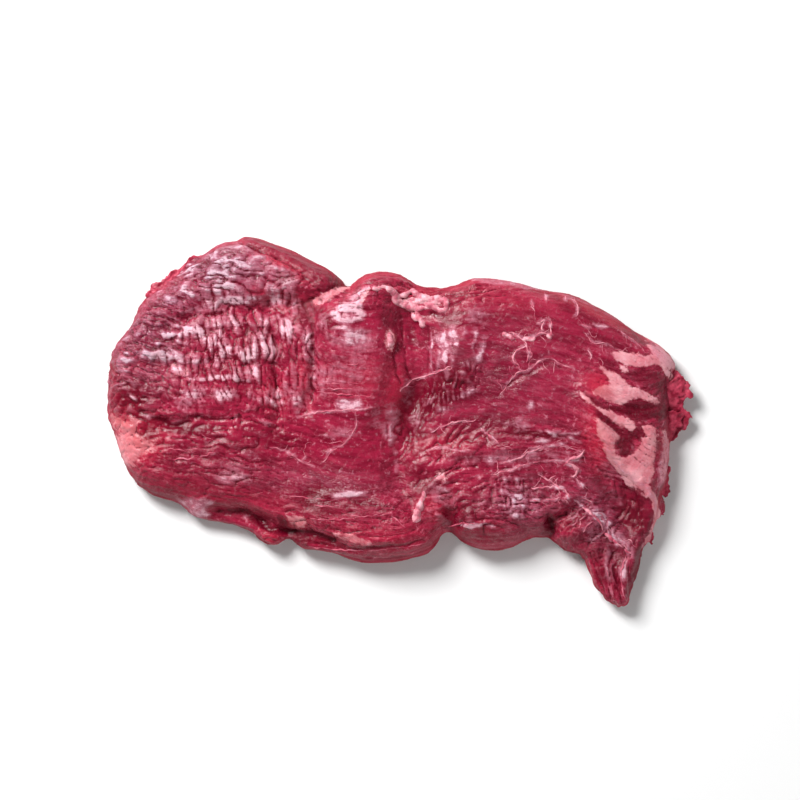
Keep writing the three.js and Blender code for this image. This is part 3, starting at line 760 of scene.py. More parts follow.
def add_object(name: str, data: bpy.types.ID) -> Piece:
    """Puts new data in the scene.

    Args:
        name: The new object's name.
        data: Its mesh, curve, lamp or camera.

    Returns:
        The new object, selected and active.
    """
    obj = bpy.data.objects.new(name, data)
    bpy.context.scene.collection.objects.link(obj)
    select_only(obj)
    return obj


def apply_modifier(obj: Piece, kind: str, **settings: object) -> None:
    """Adds one modifier and applies it.

    Args:
        obj: The object that gets it.
        kind: Blender's name for its kind.
        settings: Its settings.
    """
    select_only(obj)
    modifier = obj.modifiers.new(kind.title(), kind)
    for name, value in settings.items():
        setattr(modifier, name, value)
    bpy.ops.object.modifier_apply(modifier=modifier.name)


def remesh(obj: Piece, voxel: float, passes: int) -> None:
    """Gives a piece even faces of a size in metres, and smooths them in some passes."""
    apply_modifier(obj, "REMESH", mode="VOXEL", voxel_size=voxel, use_smooth_shade=True)
    apply_modifier(obj, "SMOOTH", factor=0.5, iterations=passes)


def edit_mesh(obj: Piece, step: Callable[[], object]) -> None:
    """Runs one step on a piece in edit mode.

    Args:
        obj: The piece.
        step: What is done there.
    """
    select_only(obj)
    bpy.ops.object.mode_set(mode="EDIT")
    step()
    bpy.ops.object.mode_set(mode="OBJECT")


def read_rows(source: bpy.types.bpy_prop_collection, name: str) -> Array:
    """Reads a vector from each of a mesh's elements.

    Args:
        source: The elements.
        name: What the vector is called there.

    Returns:
        The vectors, one row each.
    """
    flat = np.empty(3 * len(source))
    source.foreach_get(name, flat)
    return flat.reshape(-1, 3)


def read_points(obj: Piece) -> Array:
    """The vertices' places in millimetres, one row each."""
    return read_rows(obj.data.vertices, "co") / MM


def write_points(obj: Piece, co: Array) -> None:
    """Puts the vertices at places given in millimetres."""
    obj.data.vertices.foreach_set("co", (co * MM).ravel())
    obj.data.update()


def read_normals(obj: Piece) -> Array:
    """The vertices' normals, one row each."""
    return read_rows(obj.data.vertex_normals, "vector")


def write_attribute(obj: Piece, name: str, values: Array) -> None:
    """Stores one number or one vector for each vertex.

    Args:
        obj: The piece.
        name: What the material calls them.
        values: The numbers, or the vectors in rows.
    """
    flat = values.ndim == 1
    layer = obj.data.attributes.new(name, "FLOAT" if flat else "FLOAT_VECTOR", "POINT")
    layer.data.foreach_set("value" if flat else "vector", values.astype(np.float32).ravel())


@dataclass
class MeatBody:
    """The whole slab: the solid's form, remeshed finely and given its small relief and its tones.

    Args:
        voxel: The size of a face after remeshing, in metres.
        smoothing: Passes that round off the solid's flat faces.
        thinned: The share of the faces that is left once the flat underside's are thinned out.
        seed: What the small relief is drawn from.
        lobe: The wrinkles of the left lobe.
        piece: The piece, once it is built.
    """

    # The upward part of a normal below which a face belongs to the underside
    UNDERSIDE = -0.9
    # The downward part of a normal from which the rim's tones begin, and from which they are full
    RIM = (-0.7, -0.25)
    # The upward part of a normal and the height, in millimetres, over which the relief fades in
    RELIEF_NORMAL = (-0.6, 0.1)
    RELIEF_HEIGHT = (0.5, 3)
    # Faces that point up more than this, and lie higher, are split in four
    SEEN_NORMAL = 0.2
    SEEN_HEIGHT = 1.2 * MM
    # How far creases and the edges of tones wander, in millimetres
    CREASE_WANDER = 0.9
    EDGE_WANDER = 0.8
    # How strong each tone is at least on the rims that turn down; the dark tone there is painted shade
    RIM_TONES = {Tone.DARK: 0.5, Tone.VIVID: 0.6, Tone.DULL: 1, Tone.FIBRE: 0.8}
    # How far a tone lifts the surface, in millimetres
    TONE_LIFTS = {Tone.FAT: 0.35, Tone.DARK: -0.25}
    FIBRE_SIZE = (18, 1.9)
    # The film round a white thread: how far it reaches past it, its strength and how far it fades
    HALO = 0.5
    HALO_STRENGTH = 0.7
    HALO_SOFT = 1.6
    # Rounds of blurring after which a vertex is held against its near and its wide surroundings, for the
    # painted shade in hollows
    BLUR_ROUNDS = (3, 34)
    BLUR = 0.7

    voxel: float = 1.6 * MM
    smoothing: int = 5
    thinned: float = 0.66
    seed: int = 11
    lobe: WrinkledLobe = WrinkledLobe()
    piece: Piece | None = None

    def build(self) -> Piece:
        """Makes the mesh and gives it its relief and tones.

        Returns:
            The piece.
        """
        self.copy_solid()
        self.thin_underside()
        self.refine_upper_side()
        self.sculpt()
        return self.piece

    def copy_solid(self) -> None:
        """Copies the solid's mesh, joins its loose triangles and remeshes it evenly."""
        self.piece = add_object("raw_meat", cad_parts[NODE].data.copy())
        self.piece.data.materials.clear()
        edit_mesh(self.piece, lambda: bpy.ops.mesh.select_all(action="SELECT"))
        edit_mesh(self.piece, lambda: bpy.ops.mesh.remove_doubles(threshold=0.01 * MM))
        remesh(self.piece, self.voxel, self.smoothing)

    def thin_underside(self) -> None:
        """Leaves the hidden flat underside with few faces."""
        flat = np.flatnonzero(read_normals(self.piece)[:, 2] < self.UNDERSIDE)
        self.piece.vertex_groups.new(name="underside").add(flat.tolist(), 1, "REPLACE")
        apply_modifier(self.piece, "DECIMATE", ratio=self.thinned, vertex_group="underside")

    def refine_upper_side(self) -> None:
        """Splits every face that can be seen from above or from a side in four."""
        edit_mesh(self.piece, lambda: bpy.ops.mesh.select_all(action="DESELECT"))
        bpy.context.tool_settings.mesh_select_mode = (False, False, True)
        for face in self.piece.data.polygons:
            face.select = face.normal.z > self.SEEN_NORMAL and face.center.z > self.SEEN_HEIGHT
        edit_mesh(self.piece, lambda: bpy.ops.mesh.subdivide(number_cuts=1, smoothness=0))
        apply_modifier(self.piece, "SMOOTH", factor=0.5, iterations=2)

    def sculpt(self) -> None:
        """Moves the vertices for the small relief, and writes the tones."""
        co, normals = read_points(self.piece), read_normals(self.piece)
        noise, cells = Noise(self.seed), Cells(self.seed)
        x, y, z = co.T
        upper = eased(normals[:, 2], *self.RELIEF_NORMAL) * eased(z, *self.RELIEF_HEIGHT)
        rim = eased(-normals[:, 2], *self.RIM)
        tops, cover = self.lobe.tops(noise, cells, x, y), self.lobe.place.cover(x, y)
        lobe = cover / self.lobe.place.amount
        lift = cover * (tops - 0.5)
        wander = self.CREASE_WANDER * noise.at(x / 4, y / 4 + 30)
        uneven = 0.65 + 0.5 * noise.rough(x / 5 + 80, y / 5)
        for crease in CREASES:
            lift += crease.lift(x + wander, y - wander) * uneven
        tones = self.tones(noise, x, y, tops, lobe)
        for bumps in ROUGHNESSES:
            form = bumps.form(noise, cells, x + 0.9 * z, y - 0.7 * z)
            height = bumps.place.cover(x, y)
            lift += height * form * (1 - 0.5 * rim)
            # Painted highlight: more film on the bumps' tops, less in their valleys
            tones[Tone.FILM_AND_HIGHLIGHT] += bumps.film_and_highlight * height / bumps.place.amount * form
        for tone, least in self.RIM_TONES.items():
            tones[tone] = np.maximum(tones[tone], least * rim)
        grain = GrainLines(x, y).coordinates(co)
        along, across = grain[:, 0] + 3 * noise.at(x / 20, y / 9), grain[:, 1]
        fibres = noise.ridged(along / self.FIBRE_SIZE[0], across / self.FIBRE_SIZE[1])
        lift += (0.4 + 0.3 * rim) * tones[Tone.FIBRE] * (1 - 0.8 * tones[Tone.FAT]) * fibres
        lift += sum(height * tones[tone] for tone, height in self.TONE_LIFTS.items())
        low, high = (np.array(corner) / MM for corner in CAD_BOX)
        moved = np.clip(co + normals * (lift * upper)[:, None], low, high)
        write_points(self.piece, moved)
        for tone, values in tones.items():
            write_attribute(self.piece, tone.value, np.clip(values, 0, 1.2))
        write_attribute(self.piece, "grain", grain)
        # The hollows' depths feed the painted shade in the material
        write_attribute(self.piece, "hollow", np.column_stack([*self.hollowness(moved[:, 2]), lobe]))

    def tones(self, noise: Noise, x: Array, y: Array, tops: Array, lobe: Array) -> dict[Tone, Array]:
        """Works out how much of each tone every place has.

        Args:
            noise: What makes the patches' edges wander.
            x: Places along the grain.
            y: Places across it.
            tops: The lobe's wrinkles, from 0 in a valley to 1 on a top.
            lobe: How far each place belongs to the wrinkled lobe.

        Returns:
            For each tone, values from 0 to 1.
        """
        wx = x + self.EDGE_WANDER * noise.rough(x / 3.5, y / 3.5 + 20)
        wy = y + self.EDGE_WANDER * noise.rough(x / 3.5 + 50, y / 3.5)
        marks = {tone: list(shapes) for tone, shapes in MARKS.items()}
        for radius, path in THREADS[ThreadKind.SINEW]:
            marks[Tone.FILM_AND_HIGHLIGHT].append(Stroke(path, radius + self.HALO, self.HALO_STRENGTH, self.HALO_SOFT))
        found = {}
        for tone, shapes in marks.items():
            found[tone] = np.zeros(len(x))
            for shape in shapes:
                found[tone] = np.maximum(found[tone], shape.cover(wx, wy))
        # Painted highlight on the lobe's wrinkle tops, with less film in its valleys
        wrinkled = lobe * (self.lobe.film_and_highlight * (tops - 0.5) + 0.2)
        found[Tone.FILM_AND_HIGHLIGHT] = found[Tone.FILM_AND_HIGHLIGHT] * (1 - 0.55 * lobe * (1 - tops)) + wrinkled
        gaps = found[Tone.DARK] > 0.5
        found[Tone.FAT] = np.where(gaps, np.minimum(found[Tone.FAT], 1 - found[Tone.DARK]), found[Tone.FAT])
        found[Tone.SILK] *= 1 - eased(found[Tone.DARK], 0.6, 0.85)
        return found

    def hollowness(self, z: Array) -> list[Array]:
        """Measures how far each vertex lies below its surroundings.

        Args:
            z: The vertices' heights.

        Returns:
            The depths in millimetres, below the near and then below the wide surroundings.
        """
        edges = np.empty(2 * len(self.piece.data.edges), np.int64)
        self.piece.data.edges.foreach_get("vertices", edges)
        a, b = edges.reshape(-1, 2).T
        count = np.bincount(edges, minlength=len(z))
        mean, out = z.copy(), []
        for rounds in self.BLUR_ROUNDS:
            for _ in range(rounds):
                total = np.bincount(a, mean[b], len(z)) + np.bincount(b, mean[a], len(z))
                mean = (1 - self.BLUR) * mean + self.BLUR * total / count
            out.append(mean - z)
        return out


class ThreadKind(Enum):
    """Which thread a line on the surface is. The values name the pieces."""

    SINEW = "white_threads"
    STREAK_AND_HIGHLIGHT = "pink_streaks_and_highlights"
    FAT = "fat_cords"


# Threads of each kind: half the thickness, in millimetres, and path
THREADS: dict[ThreadKind, list[tuple[float, Path]]] = {
    ThreadKind.SINEW: [
        (0.8, (52.5, 43, 56, 44.5, 59, 42.5, 62, 41, 66, 43, 72.5, 44, 75, 42.5)),
        (0.5, (61, 41, 62.5, 38, 57.5, 35, 56.5, 31, 59, 27.5, 60.5, 25.5)),
        (0.45, (62.5, 38, 64, 33, 63, 30)),
        (0.5, (68, 49, 72, 51, 75, 50, 74.5, 46.5, 75.5, 43)),
        (0.4, (72, 51, 70, 47, 72, 44.5)),
        (0.5, (50, 14, 52, 17, 55, 21, 58.5, 24, 63.5, 26, 66.5, 28, 70, 30.5, 74, 31.5, 77.5, 30, 82.5, 28,
          87, 26)),
        (0.5, (82.5, 62.5, 86, 61, 88.5, 57, 88, 53.5, 86, 52)),
        (0.7, (82.5, 62.5, 83, 60)),
        (0.7, (72.5, 64.5, 73, 61)),
        (0.5, (65.5, 61, 66.5, 57)),
        (0.4, (90, 48.5, 95, 47)),
        (0.45, (91.5, 44, 94, 42, 96, 39.5, 101.5, 39.5, 106, 37, 109, 36, 111, 35.5)),
        (0.35, (110, 45, 116, 41, 120, 37.5)),
        (0.4, (93.5, 36, 95, 33, 94.5, 31)),
        (0.45, (65, -12.5, 72.5, -12, 80, -11.5, 87.5, -13.5, 91.5, -15)),
        (1.2, (91.5, -13.5, 89, -17.5, 86, -18.5, 83, -20, 86.5, -22, 88.5, -24, 87.5, -26.5, 86, -27.5)),
        (0.45, (87.5, -28, 90, -31, 91.5, -33.5)),
        (0.55, (50, -20.5, 58, -18, 65, -14.5, 72, -12.5)),
        (0.5, (45, -26, 50, -25, 58, -23, 66, -20, 66.5, -19)),
        (0.4, (66, -20, 77.5, -19, 83, -19.5)),
        (0.45, (65, -33, 72, -32.5, 78, -31.5)),
        (0.4, (65, -39, 72, -39, 80, -37.5)),
        (0.5, (68.5, -26, 72.5, -28, 76, -30, 80, -33, 83, -35, 84, -38)),
        (0.35, (74, -29, 77.5, -26.5)),
        (1.1, (83, -35, 84.5, -38.5)),
        (0.8, (87.5, -39, 91.5, -43, 96, -46.5, 99, -49)),
        (0.9, (98, -48, 100, -50.5, 102, -55, 106.5, -59, 111, -62, 115, -65.5)),
        (0.5, (99, -45, 104, -50, 107, -56, 111, -59, 115, -63)),
        (0.5, (103, -55, 98, -57, 95, -60)),
        (0.4, (88.5, -38, 94, -39, 96.5, -41.5)),
        (0.45, (92.5, -46.5, 88, -50, 85, -53)),
        (0.45, (96, -49, 93, -52, 91, -55)),
        (0.45, (-65, -12.5, -58.5, -13.5, -54, -16.5, -49, -19.5, -42.5, -22.5)),
        (0.4, (-49, -19.5, -46.5, -16.5)),
        (0.5, (-51, 2.5, -44, 4.5, -35, 5.5, -27.5, 6, -20, 6, -14, 7)),
        (0.4, (-22.5, 5, -21.5, -1.5, -25, -7.5, -29, -11.5, -34, -14, -37, -18, -38.5, -20)),
        (0.4, (15, -5, 20, -2.5, 27.5, 0, 37.5, 1)),
        (0.4, (12.5, -14, 20, -12.5, 27.5, -14, 35, -13.5)),
        (0.5, (0, 15, 2.5, 18, 7.5, 21, 15, 23.5, 21.5, 26, 25, 28)),
        (0.45, (40, -3, 46, -8, 49, -11)),
    ],
    ThreadKind.FAT: [
        (1.1, (50.5, 43.6, 53, 43.2, 56.5, 41.4)),
        (1, (61.5, 41.6, 65, 40.8, 67.5, 42)),
        (0.9, (73, 43, 75, 41.8)),
        (1.7, (-13, 66, -9, 67, -4, 64.5, -1.5, 60.5, 3, 58, 9, 56.5, 15, 57)),
        (1.7, (-2, 62, 3, 64, 6, 65, 10, 63, 14, 61, 20, 61, 23.5, 59, 21.5, 55.5, 18, 56.5, 13, 59,
          7, 59.5, 1, 59.5)),
        (1.3, (2, 61.5, 8, 61, 14, 59.5, 20, 58.5)),
        (1.6, (9, 57, 9, 52, 12, 48.5)),
        (2.6, (10.5, 50, 12.5, 48)),
        (1, (6, 56, 7.5, 52.5, 9.5, 51.5)),
        (1.8, (-5.6, 44.5, -5, 41, -5.4, 37.5)),
        (1.7, (12, -35, 10.5, -40, 8.5, -46, 8, -50)),
        (3, (8.5, -46.5, 7.2, -50)),
    ],
    ThreadKind.STREAK_AND_HIGHLIGHT: [
        # Fine pale lines: partly pink tissue, partly painted highlight lines on the glossy muscle
        (0.35, (-42.5, 19.5, -35, 19.5, -25, 19, -17, 19.5)),
        (0.4, (-41, 14.8, -32, 14.2, -20, 13, -13, 12.5)),
        (0.35, (-40, 17, -30, 16.6, -22, 16.8)),
        (0.35, (-36, 29, -28, 28.6, -20, 29.2)),
        (0.6, (-46, -62.5, -35, -63.5, -20, -64, -8, -63.5, 5, -62, 12, -60.5)),
        (0.7, (-4, -46, -1.5, -49, 2.5, -52.5)),
        (0.45, (-120, -13.5, -110, -13.5, -100, -13.8)),
        (0.4, (-118, -18.5, -104, -18, -92, -15)),
        (0.35, (-100, -5, -92, -9, -82, -11, -72, -11)),
        (0.45, (-45, -41, -38, -42, -30, -41)),
        (0.4, (-60, -36, -45, -38, -30, -39)),
        (0.4, (-28, -46, -15, -46.5, -2, -45)),
        (0.4, (-45, -48, -36, -48.5, -22, -48)),
        (0.5, (24, -52, 30, -50.5, 38, -50.5)),
        (0.4, (103, -72, 104, -79, 107, -88)),
        (0.5, (113, -66, 110.5, -78, 112.5, -89)),
    ],
}


@dataclass
class Tissue:
    """All threads of one kind, laid half sunk on the meat and joined to one piece.

    Args:
        kind: Which threads.
        sink: How far their middle lies above the surface, as a share of their radius.
        scale: A factor on their thickness.
        waver: How much their thickness and height vary.
        sides: How round they are.
        step: The distance between their points, in millimetres.
        seed: What their unevenness is drawn from.
        piece: The piece, once it is built.
    """

    # How far apart the noises of two threads lie
    APART = 13.7
    BLUNT = 0.04
    # How far a thread wanders to a side, in millimetres
    WANDER = 0.5
    # Hairs: points of a thread from one to the next, half thickness, joints, length of a joint, how far one
    # turns off its thread and how much it bends at a joint, in radians
    HAIR_GAP = 8
    HAIR_RADIUS = 0.2
    HAIR_JOINTS = 4
    HAIR_STEP = (1, 2.8)
    HAIR_TURN = (0.3, 1)
    HAIR_BEND = 0.7
    # Cords once melted: size of a face, passes of smoothing, and size, least height and spread of the lumps
    CORD_VOXEL = 0.45
    CORD_PASSES = 7
    LUMP = 1.8
    LUMP_HEIGHT = 0.6
    LUMP_SPREAD = 0.5
    # Where rays start above the meat, in metres, and the height where one misses it
    SKY = 0.1
    MISSED = 0.01

    kind: ThreadKind
    sink: float = -0.35
    scale: float = 0.85
    waver: float = 0.8
    sides: int = 2
    step: float = 0.7
    seed: int = 5
    piece: Piece | None = None

    def __post_init__(self) -> None:
        """Draws the noise."""
        self.noise = Noise(self.seed)

    def build(self, meat: Piece) -> Piece:
        """Lays each thread of this kind on the meat, and joins them to one mesh.

        Args:
            meat: The meat they lie on.

        Returns:
            The piece.
        """
        curve = bpy.data.curves.new(self.kind.value, "CURVE")
        curve.dimensions = "3D"
        curve.bevel_depth = MM
        curve.bevel_resolution = self.sides
        curve.use_fill_caps = True
        threads = THREADS[self.kind]
        if self.kind is ThreadKind.SINEW:
            threads = threads + self.hairs(threads)
        for number, (radius, path) in enumerate(threads):
            self.lay(curve, radius, smooth_path(path, self.step), meat, self.APART * number)
        self.piece = add_object(self.kind.value, curve)
        bpy.ops.object.convert(target="MESH")
        if self.kind is ThreadKind.FAT:
            self.make_lumpy()
        bpy.ops.object.shade_smooth()
        return self.piece

    def hairs(self, threads: list[tuple[float, Path]]) -> list[tuple[float, Path]]:
        """Draws short fine branches at random along the threads.

        Args:
            threads: The threads they spring from.

        Returns:
            The branches, as further threads.
        """
        draw = np.random.default_rng(self.seed)
        out = []
        for _, path in threads:
            line = smooth_path(path, 1)
            for i in range(2, len(line) - 2, self.HAIR_GAP):
                ahead = line[i + 1] - line[i]
                turn = math.atan2(ahead[1], ahead[0]) + draw.uniform(*self.HAIR_TURN) * draw.choice((-1, 1))
                hair, step = [*line[i]], draw.uniform(*self.HAIR_STEP)
                for _ in range(self.HAIR_JOINTS):
                    hair += [hair[-2] + step * math.cos(turn), hair[-1] + step * math.sin(turn)]
                    turn += draw.normal(0, self.HAIR_BEND)
                out.append((self.HAIR_RADIUS, hair))
        return out

    def make_lumpy(self) -> None:
        """Melts the cords into each other and swells them unevenly."""
        remesh(self.piece, self.CORD_VOXEL * MM, self.CORD_PASSES)
        co, normals = read_points(self.piece), read_normals(self.piece)
        x, y, z = co.T
        lumps = self.noise.rough(x / self.LUMP + z / 2, y / self.LUMP - z / 2)
        write_points(self.piece, co + normals * (self.LUMP_HEIGHT + self.LUMP_SPREAD * lumps)[:, None])

    def lay(self, curve: bpy.types.Curve, radius: float, line: Array, meat: Piece, start: float) -> None:
        """Adds one thread to the curve, following the surface below it.

        Args:
            curve: The curve that gets it.
            radius: Half its thickness, in millimetres.
            line: Its points in plan.
            meat: The meat it lies on.
            start: Where its noise begins.
        """
        noise = self.noise
        along, zero = self.step * np.arange(len(line)), np.zeros(len(line))
        wander = np.column_stack([noise.at(along / 2 + start, zero), noise.at(zero, along / 2 + start)])
        line = line + self.WANDER * wander
        swell = noise.at(along / 2.2 + start, zero + 7.5)
        dip = noise.at(along / 5 + start, zero + 3.5)
        radii = self.scale * radius * tapered(np.arange(len(line)) / max(1, len(line) - 1), self.BLUNT)
        radii = radii * (1.15 + self.waver * 1.25 * (swell - 0.4))
        spline = curve.splines.new("POLY")
        spline.points.add(len(line) - 1)
        for point, (px, py), thick, dipped in zip(spline.points, line * MM, radii, dip):
            hit, place, _, _ = meat.ray_cast(Vector((px, py, self.SKY)), Vector((0, 0, -1)))
            height = (place.z if hit else self.MISSED) + (self.sink + self.waver * dipped) * thick * MM
            point.co = (px, py, height, 1)
            point.radius = thick


@dataclass(frozen=True)
class Shred:
    """A thin torn leaf of meat that hangs from the edge.

    Args:
        outline: Its corners.
        root: How high its inner edge lies.
        tip: How high its outermost point lies.
    """

    outline: Path
    root: float
    tip: float


SHREDS = [
    Shred((132, 20, 137, 25.5, 139.5, 25, 142.5, 21.5, 145.3, 19, 145, 16.5, 146.8, 13.5, 146, 11.5,
      143.8, 12, 142, 9, 142.4, 7, 144.8, 4.8, 146.8, 2.2, 144.6, 1.2, 144.8, -1, 143.6, -3.8, 141.2, -4.2,
      139.2, -7, 135.8, -9.5, 133, -4), 10, 5),
    Shred((133, 19, 138, 22, 141, 21.5, 143.4, 18.4, 141.5, 16, 143.2, 13.2, 139.5, 12.5, 141, 9,
      138.4, 6.5, 134, 7), 12, 8),
    Shred((133, 6, 138, 5.4, 142.6, 3.4, 141, 0.6, 142, -2.4, 138.2, -3, 136.6, -6.6, 133.4, -5), 11, 7),
    Shred((131, -20, 135.4, -23, 134.4, -28, 135.6, -34, 133, -38, 130, -30), 8, 4),
    Shred((127, -40, 132, -38, 131, -42, 132.4, -47, 129.6, -46, 127, -50), 7, 3),
    Shred((120, -52, 126.4, -54, 126.8, -61.6, 123.6, -58.6, 121, -60), 6, 3),
    Shred((-120, 58, -127.6, 63.2, -125.4, 66, -124.2, 68.8, -121, 69.8, -118.6, 71.2, -116, 73.8,
      -114, 76.2, -109.8, 77, -107.8, 79.6, -105, 82.4, -99.6, 83.2, -98, 78, -108, 70), 12, 8),
    Shred((-118, 60, -124.6, 65, -121.6, 67.4, -117.4, 70, -113, 73.4, -109, 73, -112, 66), 14, 10.5),
]


@dataclass
class TornEdges:
    """The torn leaves at the edges, as one piece, in millimetres.

    Args:
        thickness: How thick a leaf is at its root.
        voxel: The size of its faces and the distance between the points of its outline.
        rag: How far its outline is torn in and out.
        uneven: How rough its faces are.
        seed: What the unevenness is drawn from.
        piece: The piece, once it is built.
    """

    # How far apart the noises of two leaves lie
    APART = 17.3
    # How suddenly a leaf droops, how full it is at its root, and the size of its lumps
    DROOP = 1.5
    FULLNESS = 1.25
    LUMP = 2.6

    thickness: float = 1
    voxel: float = 0.4
    rag: float = 0.7
    uneven: float = 0.8
    seed: int = 23
    piece: Piece | None = None

    def __post_init__(self) -> None:
        """Draws the noise."""
        self.noise = Noise(self.seed)

    def build(self) -> Piece:
        """Cuts each leaf out, lets it droop, and joins the leaves.

        Returns:
            The piece.
        """
        leaves = [self.leaf(shred, self.APART * number) for number, shred in enumerate(SHREDS)]
        select_only(leaves[0])
        for leaf in leaves:
            leaf.select_set(True)
        bpy.ops.object.join()
        self.piece = bpy.context.object
        self.piece.name = "torn_edges"
        bpy.ops.object.shade_smooth()
        return self.piece

    def leaf(self, shred: Shred, start: float) -> Piece:
        """Makes one leaf with a ragged outline, rough faces and a drooping tip.

        Args:
            shred: Its form.
            start: Where its noise begins.

        Returns:
            The leaf.
        """
        noise = self.noise
        line = smooth_path((*shred.outline, *shred.outline[:2]), self.voxel)[:-1]
        along, zero = self.voxel * np.arange(len(line)) + start, np.zeros(len(line))
        line = line + self.rag * np.column_stack([noise.rough(along, zero), noise.rough(zero, along)])
        curve = bpy.data.curves.new("leaf", "CURVE")
        curve.dimensions = "2D"
        curve.fill_mode = "BOTH"
        curve.extrude = self.thickness / 2 * MM
        spline = curve.splines.new("POLY")
        spline.use_cyclic_u = True
        spline.points.add(len(line) - 1)
        for point, (px, py) in zip(spline.points, line * MM):
            point.co = (px, py, 0, 1)
        leaf = add_object("leaf", curve)
        bpy.ops.object.convert(target="MESH")
        remesh(leaf, self.voxel * MM, 2)
        co = read_points(leaf)
        reach = np.hypot(*(co[:, :2] - shred.outline[:2]).T)
        droop = (reach / reach.max()) ** self.DROOP
        co[:, 2] *= self.FULLNESS - droop
        co[:, 2] += shred.root + (shred.tip - shred.root) * droop
        co[:, 2] += self.uneven * noise.rough(co[:, 0] / self.LUMP + start, co[:, 1] / self.LUMP)
        write_points(leaf, co)
        return leaf


class Bench:
    """Adds and wires the nodes of one material."""

    def __init__(self, name: str) -> None:
        """Starts a material with one surface shader.

        Args:
            name: The material's name.
        """
        self.material = bpy.data.materials.new(name)
        self.material.use_nodes = True
        self.tree = self.material.node_tree

    def node(self, kind: str, inputs: dict[str | int, object], **options: object) -> bpy.types.Node:
        """Adds a node.

        Args:
            kind: Blender's name for its kind.
            inputs: What each named or numbered socket is wired or set to.
            options: Its options.

        Returns:
            The node.
        """
        node = self.tree.nodes.new(kind)
        for name, value in options.items():
            setattr(node, name, value)
        self.feed(node, inputs)
        return node

    def feed(self, node: bpy.types.Node, inputs: dict[str | int, object]) -> None:
        """Wires a node's sockets to others, or sets them to values.

        Args:
            node: The node.
            inputs: What each named or numbered socket is wired or set to.
        """
        for name, value in inputs.items():
            socket = node.inputs[name]
            if isinstance(value, Socket):
                self.tree.links.new(value, socket)
            else:
                socket.default_value = (*value, 1) if socket.type == "RGBA" else value

    def attribute(self, name: str, part: str = "Fac") -> Socket:
        """Reads what the mesh stores under a name."""
        return self.node("ShaderNodeAttribute", {}, attribute_name=name).outputs[part]

    def place(self) -> Socket:
        """The point's own place, in metres."""
        return self.node("ShaderNodeTexCoord", {}).outputs["Object"]

    def stretched(self, vector: Socket, x: float, y: float, z: float) -> Socket:
        """A place with its axes scaled."""
        return self.node("ShaderNodeMapping", {"Vector": vector, "Scale": (x, y, z)}).outputs[0]

    def turned(self, vector: Socket, degrees: float, length: float, breadth: float) -> Socket:
        """A place counted in features of one size, along and across an axis turned in plan."""
        return self.node("ShaderNodeMapping", {
            "Vector": vector,
            "Rotation": (0, 0, math.radians(degrees)),
            "Scale": (length, breadth, breadth),
        }, vector_type="TEXTURE").outputs[0]

    def noise(self, vector: Socket, *numbers: float) -> Socket:
        """Noise from 0 to 1, of a given scale, detail, roughness and distortion."""
        inputs = dict(zip(("Scale", "Detail", "Roughness", "Distortion"), numbers))
        return self.node("ShaderNodeTexNoise", {"Vector": vector, **inputs}).outputs["Fac"]

    def math(self, operation: str, first: object, *others: object) -> Socket:
        """One sum of two or more values in turn."""
        for other in others:
            first = self.node("ShaderNodeMath", {0: first, 1: other}, operation=operation).outputs[0]
        return first

    def plus(self, *values: object) -> Socket:
        """All values added up."""
        return self.math("ADD", *values)

    def minus(self, first: object, second: object) -> Socket:
        """The first value less the second."""
        return self.math("SUBTRACT", first, second)

    def times(self, *values: object) -> Socket:
        """All values multiplied."""
        return self.math("MULTIPLY", *values)

    def band(self, value: Socket, low: float, high: float, most: float = 1, least: float = 0) -> Socket:
        """A smooth step from least to most as the value goes from low to high."""
        inputs = {"Value": value, "From Min": low, "From Max": high, "To Min": least, "To Max": most}
        return self.node("ShaderNodeMapRange", inputs, interpolation_type="SMOOTHSTEP").outputs["Result"]

    def lines(self, noise: Socket, level: float, width: float) -> Socket:
        """Thin wandering lines, where noise passes a level."""
        return self.band(self.math("ABSOLUTE", self.minus(noise, level), 0), width, 0)

    def ragged(self, tone: Tone, noise: Socket, spread: float, width: float) -> Socket:
        """A stored tone cut off along a ragged edge by noise."""
        wander = self.times(self.minus(noise, 0.5), spread)
        return self.band(self.plus(self.attribute(tone.value), wander), 0.5 - width, 0.5 + width)

    def layered(self, base: object, coats: list[tuple[object, object]], blend: str = "MIX") -> Socket:
        """Lays tints over a colour.

        Args:
            base: The colour below.
            coats: For each coat in order, how much of it covers and its tint.
            blend: How the coats mix with what is below.

        Returns:
            The colour on top.
        """
        for share, tint in coats:
            inputs = {0: share, 6: base, 7: tint}
            base = self.node("ShaderNodeMix", inputs, data_type="RGBA", blend_type=blend).outputs[2]
        return base

    def bump(self, height: Socket, distance: float, strength: float) -> Socket:
        """A surface normal tilted by a height."""
        inputs = {"Distance": distance, "Strength": strength, "Height": height}
        return self.node("ShaderNodeBump", inputs).outputs["Normal"]

    def finish(self, inputs: dict[str, object]) -> bpy.types.Material:
        """Feeds the surface shader and gives the material back."""
        self.feed(self.tree.nodes["Principled BSDF"], inputs)
        return self.material


WET = {"IOR": 1.37, "Subsurface Weight": 0.03, "Subsurface Scale": 0.0015}


